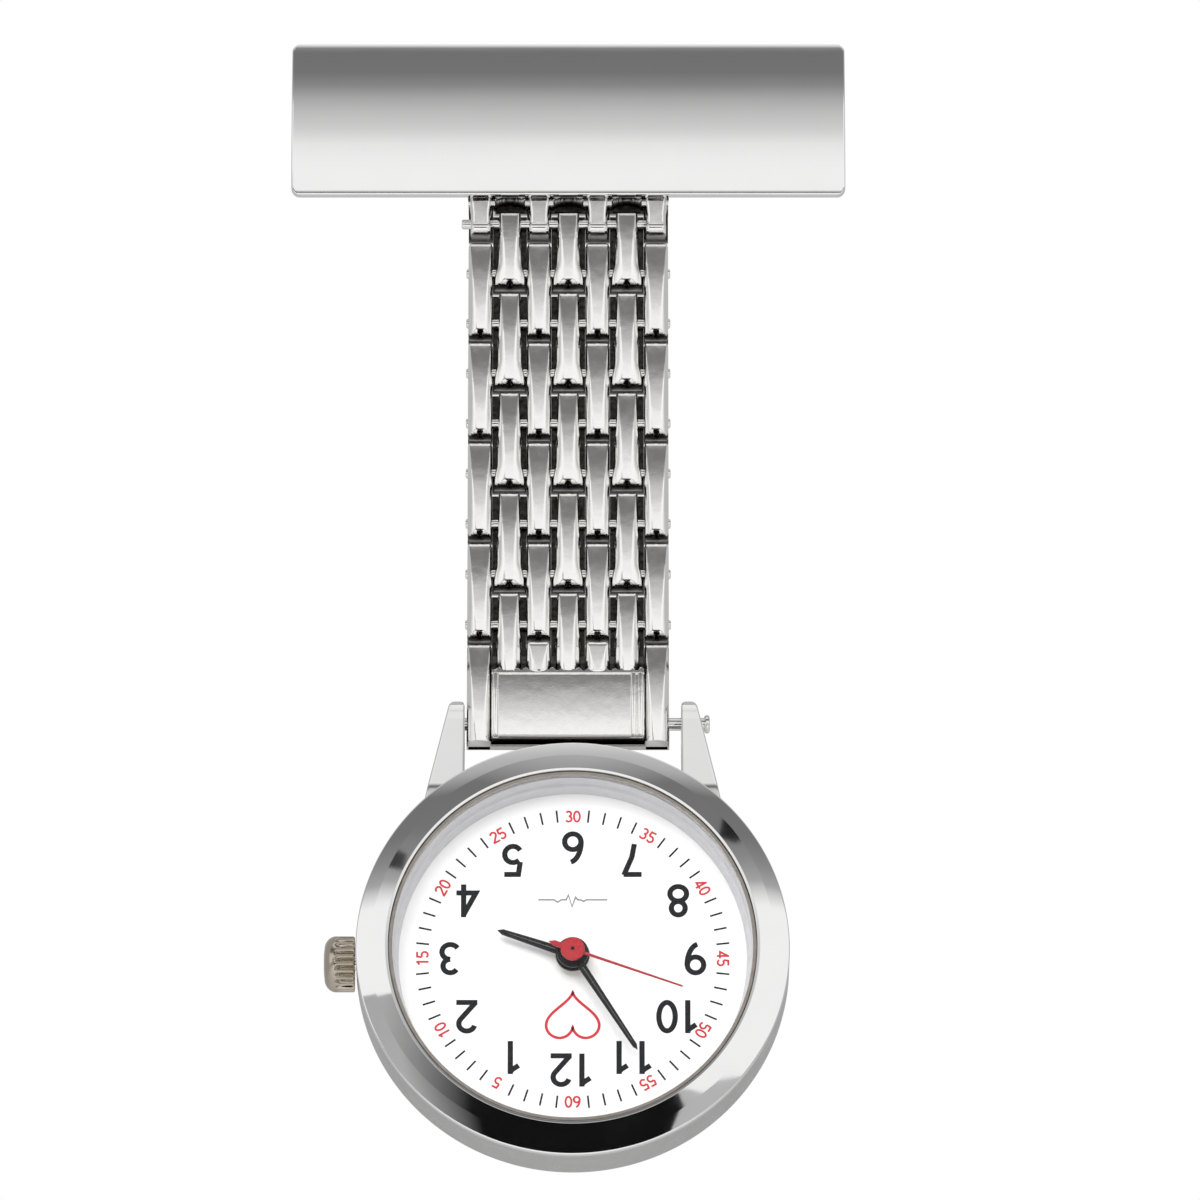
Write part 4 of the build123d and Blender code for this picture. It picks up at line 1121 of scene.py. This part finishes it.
# ------------------------------------------------------------------ crown
def build_crown():
    """A fluted barrel with a smooth domed end."""
    per_flute = 10
    count = CROWN_FLUTES * per_flute
    dome = CROWN_LENGTH * 0.4
    flute_depth = 0.28
    rings = []

    def add_ring(x, radius, groove):
        ring = []
        for index in range(count):
            angle = 2 * math.pi * index / count
            reach = radius - groove * (0.5 - 0.5 * math.cos(CROWN_FLUTES * angle)) ** 1.5
            ring.append((x, CROWN_Y + reach * math.cos(angle), CASE_Z + reach * math.sin(angle)))
        rings.append(ring)

    stations = [0.0, 0.04, 0.1, 0.2, 0.5, 0.9, 1.2, CROWN_LENGTH - dome]
    stations += [CROWN_LENGTH - dome + dome * math.sin(math.radians(a)) for a in range(8, 91, 6)]
    stations.append(CROWN_LENGTH)
    for t in stations:
        past = max(t - (CROWN_LENGTH - dome), 0.0) / dome
        radius = CROWN_RADIUS - 0.9 * (1 - math.sqrt(max(1 - past * past, 0.0))) - 0.1 * quarter_round(t, 0.1)
        fade = between(t, CROWN_LENGTH * 0.5, CROWN_LENGTH * 0.66)
        add_ring(CROWN_BASE_X - t, radius, flute_depth * (1 - fade) * between(t, -0.01, 0.08))
    for share in (0.75, 0.5, 0.25, 0.02):
        swell = 0.05 * math.sqrt(1 - share * share)
        add_ring(CROWN_BASE_X - CROWN_LENGTH - swell, (CROWN_RADIUS - 0.9) * share, 0.0)
    add_piece("crown_fluted", [loft(rings)], "nickel", "crown_and_stem", ["crown"], sharp=40)


# ------------------------------------------------------------------ parts that keep their CAD shape
def paint_cad_nodes():
    slots = {entry["node"]: entry["material_slot"] for entry in frame["record"]["subparts"]}
    for name, node in frame["nodes"].items():
        for place in node.material_slots:
            place.material = MATERIALS[slots[name]]


# ------------------------------------------------------------------ stage, light and camera
def emission_ramp(tree, height, stops):
    """Brightness by the height of a direction: stops are (elevation in degrees, brightness)."""
    ramp = tree.nodes.new("ShaderNodeValToRGB")
    elements = ramp.color_ramp.elements
    while len(elements) < len(stops):
        elements.new(0.5)
    for element, (elevation, brightness) in zip(elements, stops):
        element.position = (math.sin(math.radians(elevation)) + 1) / 2
        element.color = rgba(brightness, brightness, brightness)
    share = math_node(tree, "MULTIPLY", math_node(tree, "ADD", height, 1.0), 0.5)
    tree.links.new(share, ramp.inputs["Fac"])
    return ramp.outputs["Color"]


def build_world():
    """White to the eye; to the metal, a studio dark high in front, white low and beside, grey behind."""
    world = bpy.data.worlds.new("studio")
    bpy.context.scene.world = world
    world.use_nodes = True
    tree = world.node_tree
    background = tree.nodes["Background"]
    place = tree.nodes.new("ShaderNodeTexCoord")
    split = tree.nodes.new("ShaderNodeSeparateXYZ")
    tree.links.new(place.outputs["Generated"], split.inputs["Vector"])
    x, y, z = (split.outputs[axis] for axis in "XYZ")
    front = emission_ramp(
        tree,
        z,
        [
            (-90, 0.8), (-15, 0.95), (2, 0.97), (7, 0.95), (12, 0.88), (17.5, 0.68), (23, 0.57), (28, 0.44),
            (33, 0.27), (38, 0.19), (46, 0.18), (51, 0.45), (55, 0.55), (61, 0.85), (90, 0.95),
        ],
    )
    azimuth = math_node(tree, "ARCTAN2", math_node(tree, "ABSOLUTE", x), math_node(tree, "MULTIPLY", y, -1.0))
    beside = remap(tree, azimuth, 0.0, 1.0, math.radians(22), math.radians(29))
    low = remap(tree, z, 1.0, 0.0, math.sin(math.radians(25)), math.sin(math.radians(29)))
    sides = mix_colours(tree, math_node(tree, "MULTIPLY", beside, low), front, rgba(0.97, 0.97, 0.97))
    behind = remap(tree, azimuth, 0.0, 1.0, math.radians(60), math.radians(80))
    around = mix_colours(tree, behind, sides, rgba(0.5, 0.5, 0.5))
    path = tree.nodes.new("ShaderNodeLightPath")
    seen = mix_colours(tree, path.outputs["Is Camera Ray"], around, rgba(1.0, 1.0, 1.0))
    tree.links.new(seen, background.inputs["Color"])
    background.inputs["Strength"].default_value = 1.0


def build_flag(name, outline, tones, distance=0.5):
    """A dark card that only the metal sees, given as (azimuth, elevation) corners seen from the dial."""
    centre = Vector((0.0, 0.0, CASE_Z * MM))
    points = []
    for azimuth, elevation in outline:
        across = distance * math.tan(math.radians(azimuth))
        up = math.hypot(distance, across) * math.tan(math.radians(elevation))
        points.append(centre + Vector((across, -distance, up)))
    mesh = bpy.data.meshes.new(name)
    mesh.from_pydata(points, [], [tuple(range(len(points)))])
    card = new_object(name, mesh)
    material, tree, shader = new_material(name)
    place = tree.nodes.new("ShaderNodeTexCoord")
    split = tree.nodes.new("ShaderNodeSeparateXYZ")
    tree.links.new(place.outputs["Object"], split.inputs["Vector"])
    left = distance * math.tan(math.radians(FLAG_FADE_LEFT))
    right = distance * math.tan(math.radians(FLAG_FADE_RIGHT))
    share = remap(tree, split.outputs["X"], 0.0, 1.0, left, right)
    tone = mix_colours(tree, share, rgba(tones[0], tones[0], tones[0]), rgba(tones[1], tones[1], tones[1]))
    tree.links.new(tone, shader.inputs["Base Color"])
    shader.inputs["Roughness"].default_value = 1.0
    shader.inputs["Specular IOR Level"].default_value = 0.0
    mesh.materials.append(material)
    card.visible_camera = False
    card.visible_diffuse = False
    card.visible_shadow = False
    card.visible_transmission = False


# Dark cards in front of the watch: (azimuth, elevation) corners as seen from the dial, and the tones of
# the card left and right of its fade, which lies between two azimuths.
FLAG_FADE_LEFT = -31
FLAG_FADE_RIGHT = -17
FLAGS = [
    (
        "low_flag",
        [
            (-40, 9), (-30, 10), (-26, 5.5), (-20, 1), (-14, -4), (-7, -8.5), (7, -9), (14, -7), (18, -3.5),
            (17, -6.5), (19.5, -12), (18.5, -24), (0, -27), (-22, -25), (-40, -12),
        ],
        (0.75, 0.01),
    ),
    ("right_flag", [(27, 36.5), (29.5, 35), (31.5, 36.5), (31.5, 39), (28, 39.5)], (0.03, 0.03)),
    ("left_flag", [(-34.3, 31.5), (-30.3, 30.6), (-30, 33.4), (-33.6, 34.8)], (0.06, 0.06)),
]


def build_floor():
    mesh = bpy.data.meshes.new("floor")
    reach = 3.0
    height = -0.40
    corners = ((-reach, -reach), (reach, -reach), (reach, reach), (-reach, reach))
    mesh.from_pydata([(x, y, height) for x, y in corners], [], [(0, 1, 2, 3)])
    floor = new_object("floor", mesh)
    mesh.materials.append(
        plain_coating("floor_paper", (0.93, 0.93, 0.93), (0.91, 0.91, 0.91), (0.8, 0.9), 40.0, 0.01)
    )


def build_light():
    """A broad soft light high in front, for the dial and painted parts; the metal doesn't mirror it."""
    light = bpy.data.lights.new("key", "AREA")
    light.shape = "RECTANGLE"
    light.size = 0.7
    light.size_y = 0.5
    light.energy = 6.0
    lamp = new_object("key", light)
    lamp.location = Vector((-0.10, -0.8, 0.22))
    aim = Vector((0, 0, CASE_Z * MM)) - lamp.location
    lamp.rotation_euler = aim.to_track_quat("-Z", "Y").to_euler()
    lamp.visible_glossy = False
    lamp.visible_camera = False


def build_camera():
    """A long lens, level from side to side, 20 degrees below the watch."""
    distance = 0.9
    field = 0.084
    camera_data = bpy.data.cameras.new("camera")
    camera_data.sensor_width = 36.0
    camera_data.lens = 36.0 * distance / field
    camera_data.clip_start = 0.05
    camera_data.clip_end = 20.0
    camera = new_object("camera", camera_data)
    target = Vector((2.24 * MM, -3.0 * MM, -35.9 * MM))
    below = math.radians(20)
    camera.location = target + distance * Vector((0, -math.cos(below), -math.sin(below)))
    aim = target - camera.location
    camera.rotation_euler = aim.to_track_quat("-Z", "Y").to_euler()
    bpy.context.scene.camera = camera
    bpy.context.scene.view_settings.view_transform = "Standard"


paint_cad_nodes()
build_bar()
build_rows()
build_pins()
build_top_end()
build_bottom_end()
build_lug_pin()
build_case()
build_lugs()
build_bezel_and_back()
build_crystal_and_rings()
build_print()
build_hands()
build_crown()
build_world()
for flag_name, flag_outline, flag_tones in FLAGS:
    build_flag(flag_name, flag_outline, flag_tones)
build_floor()
build_light()
build_camera()
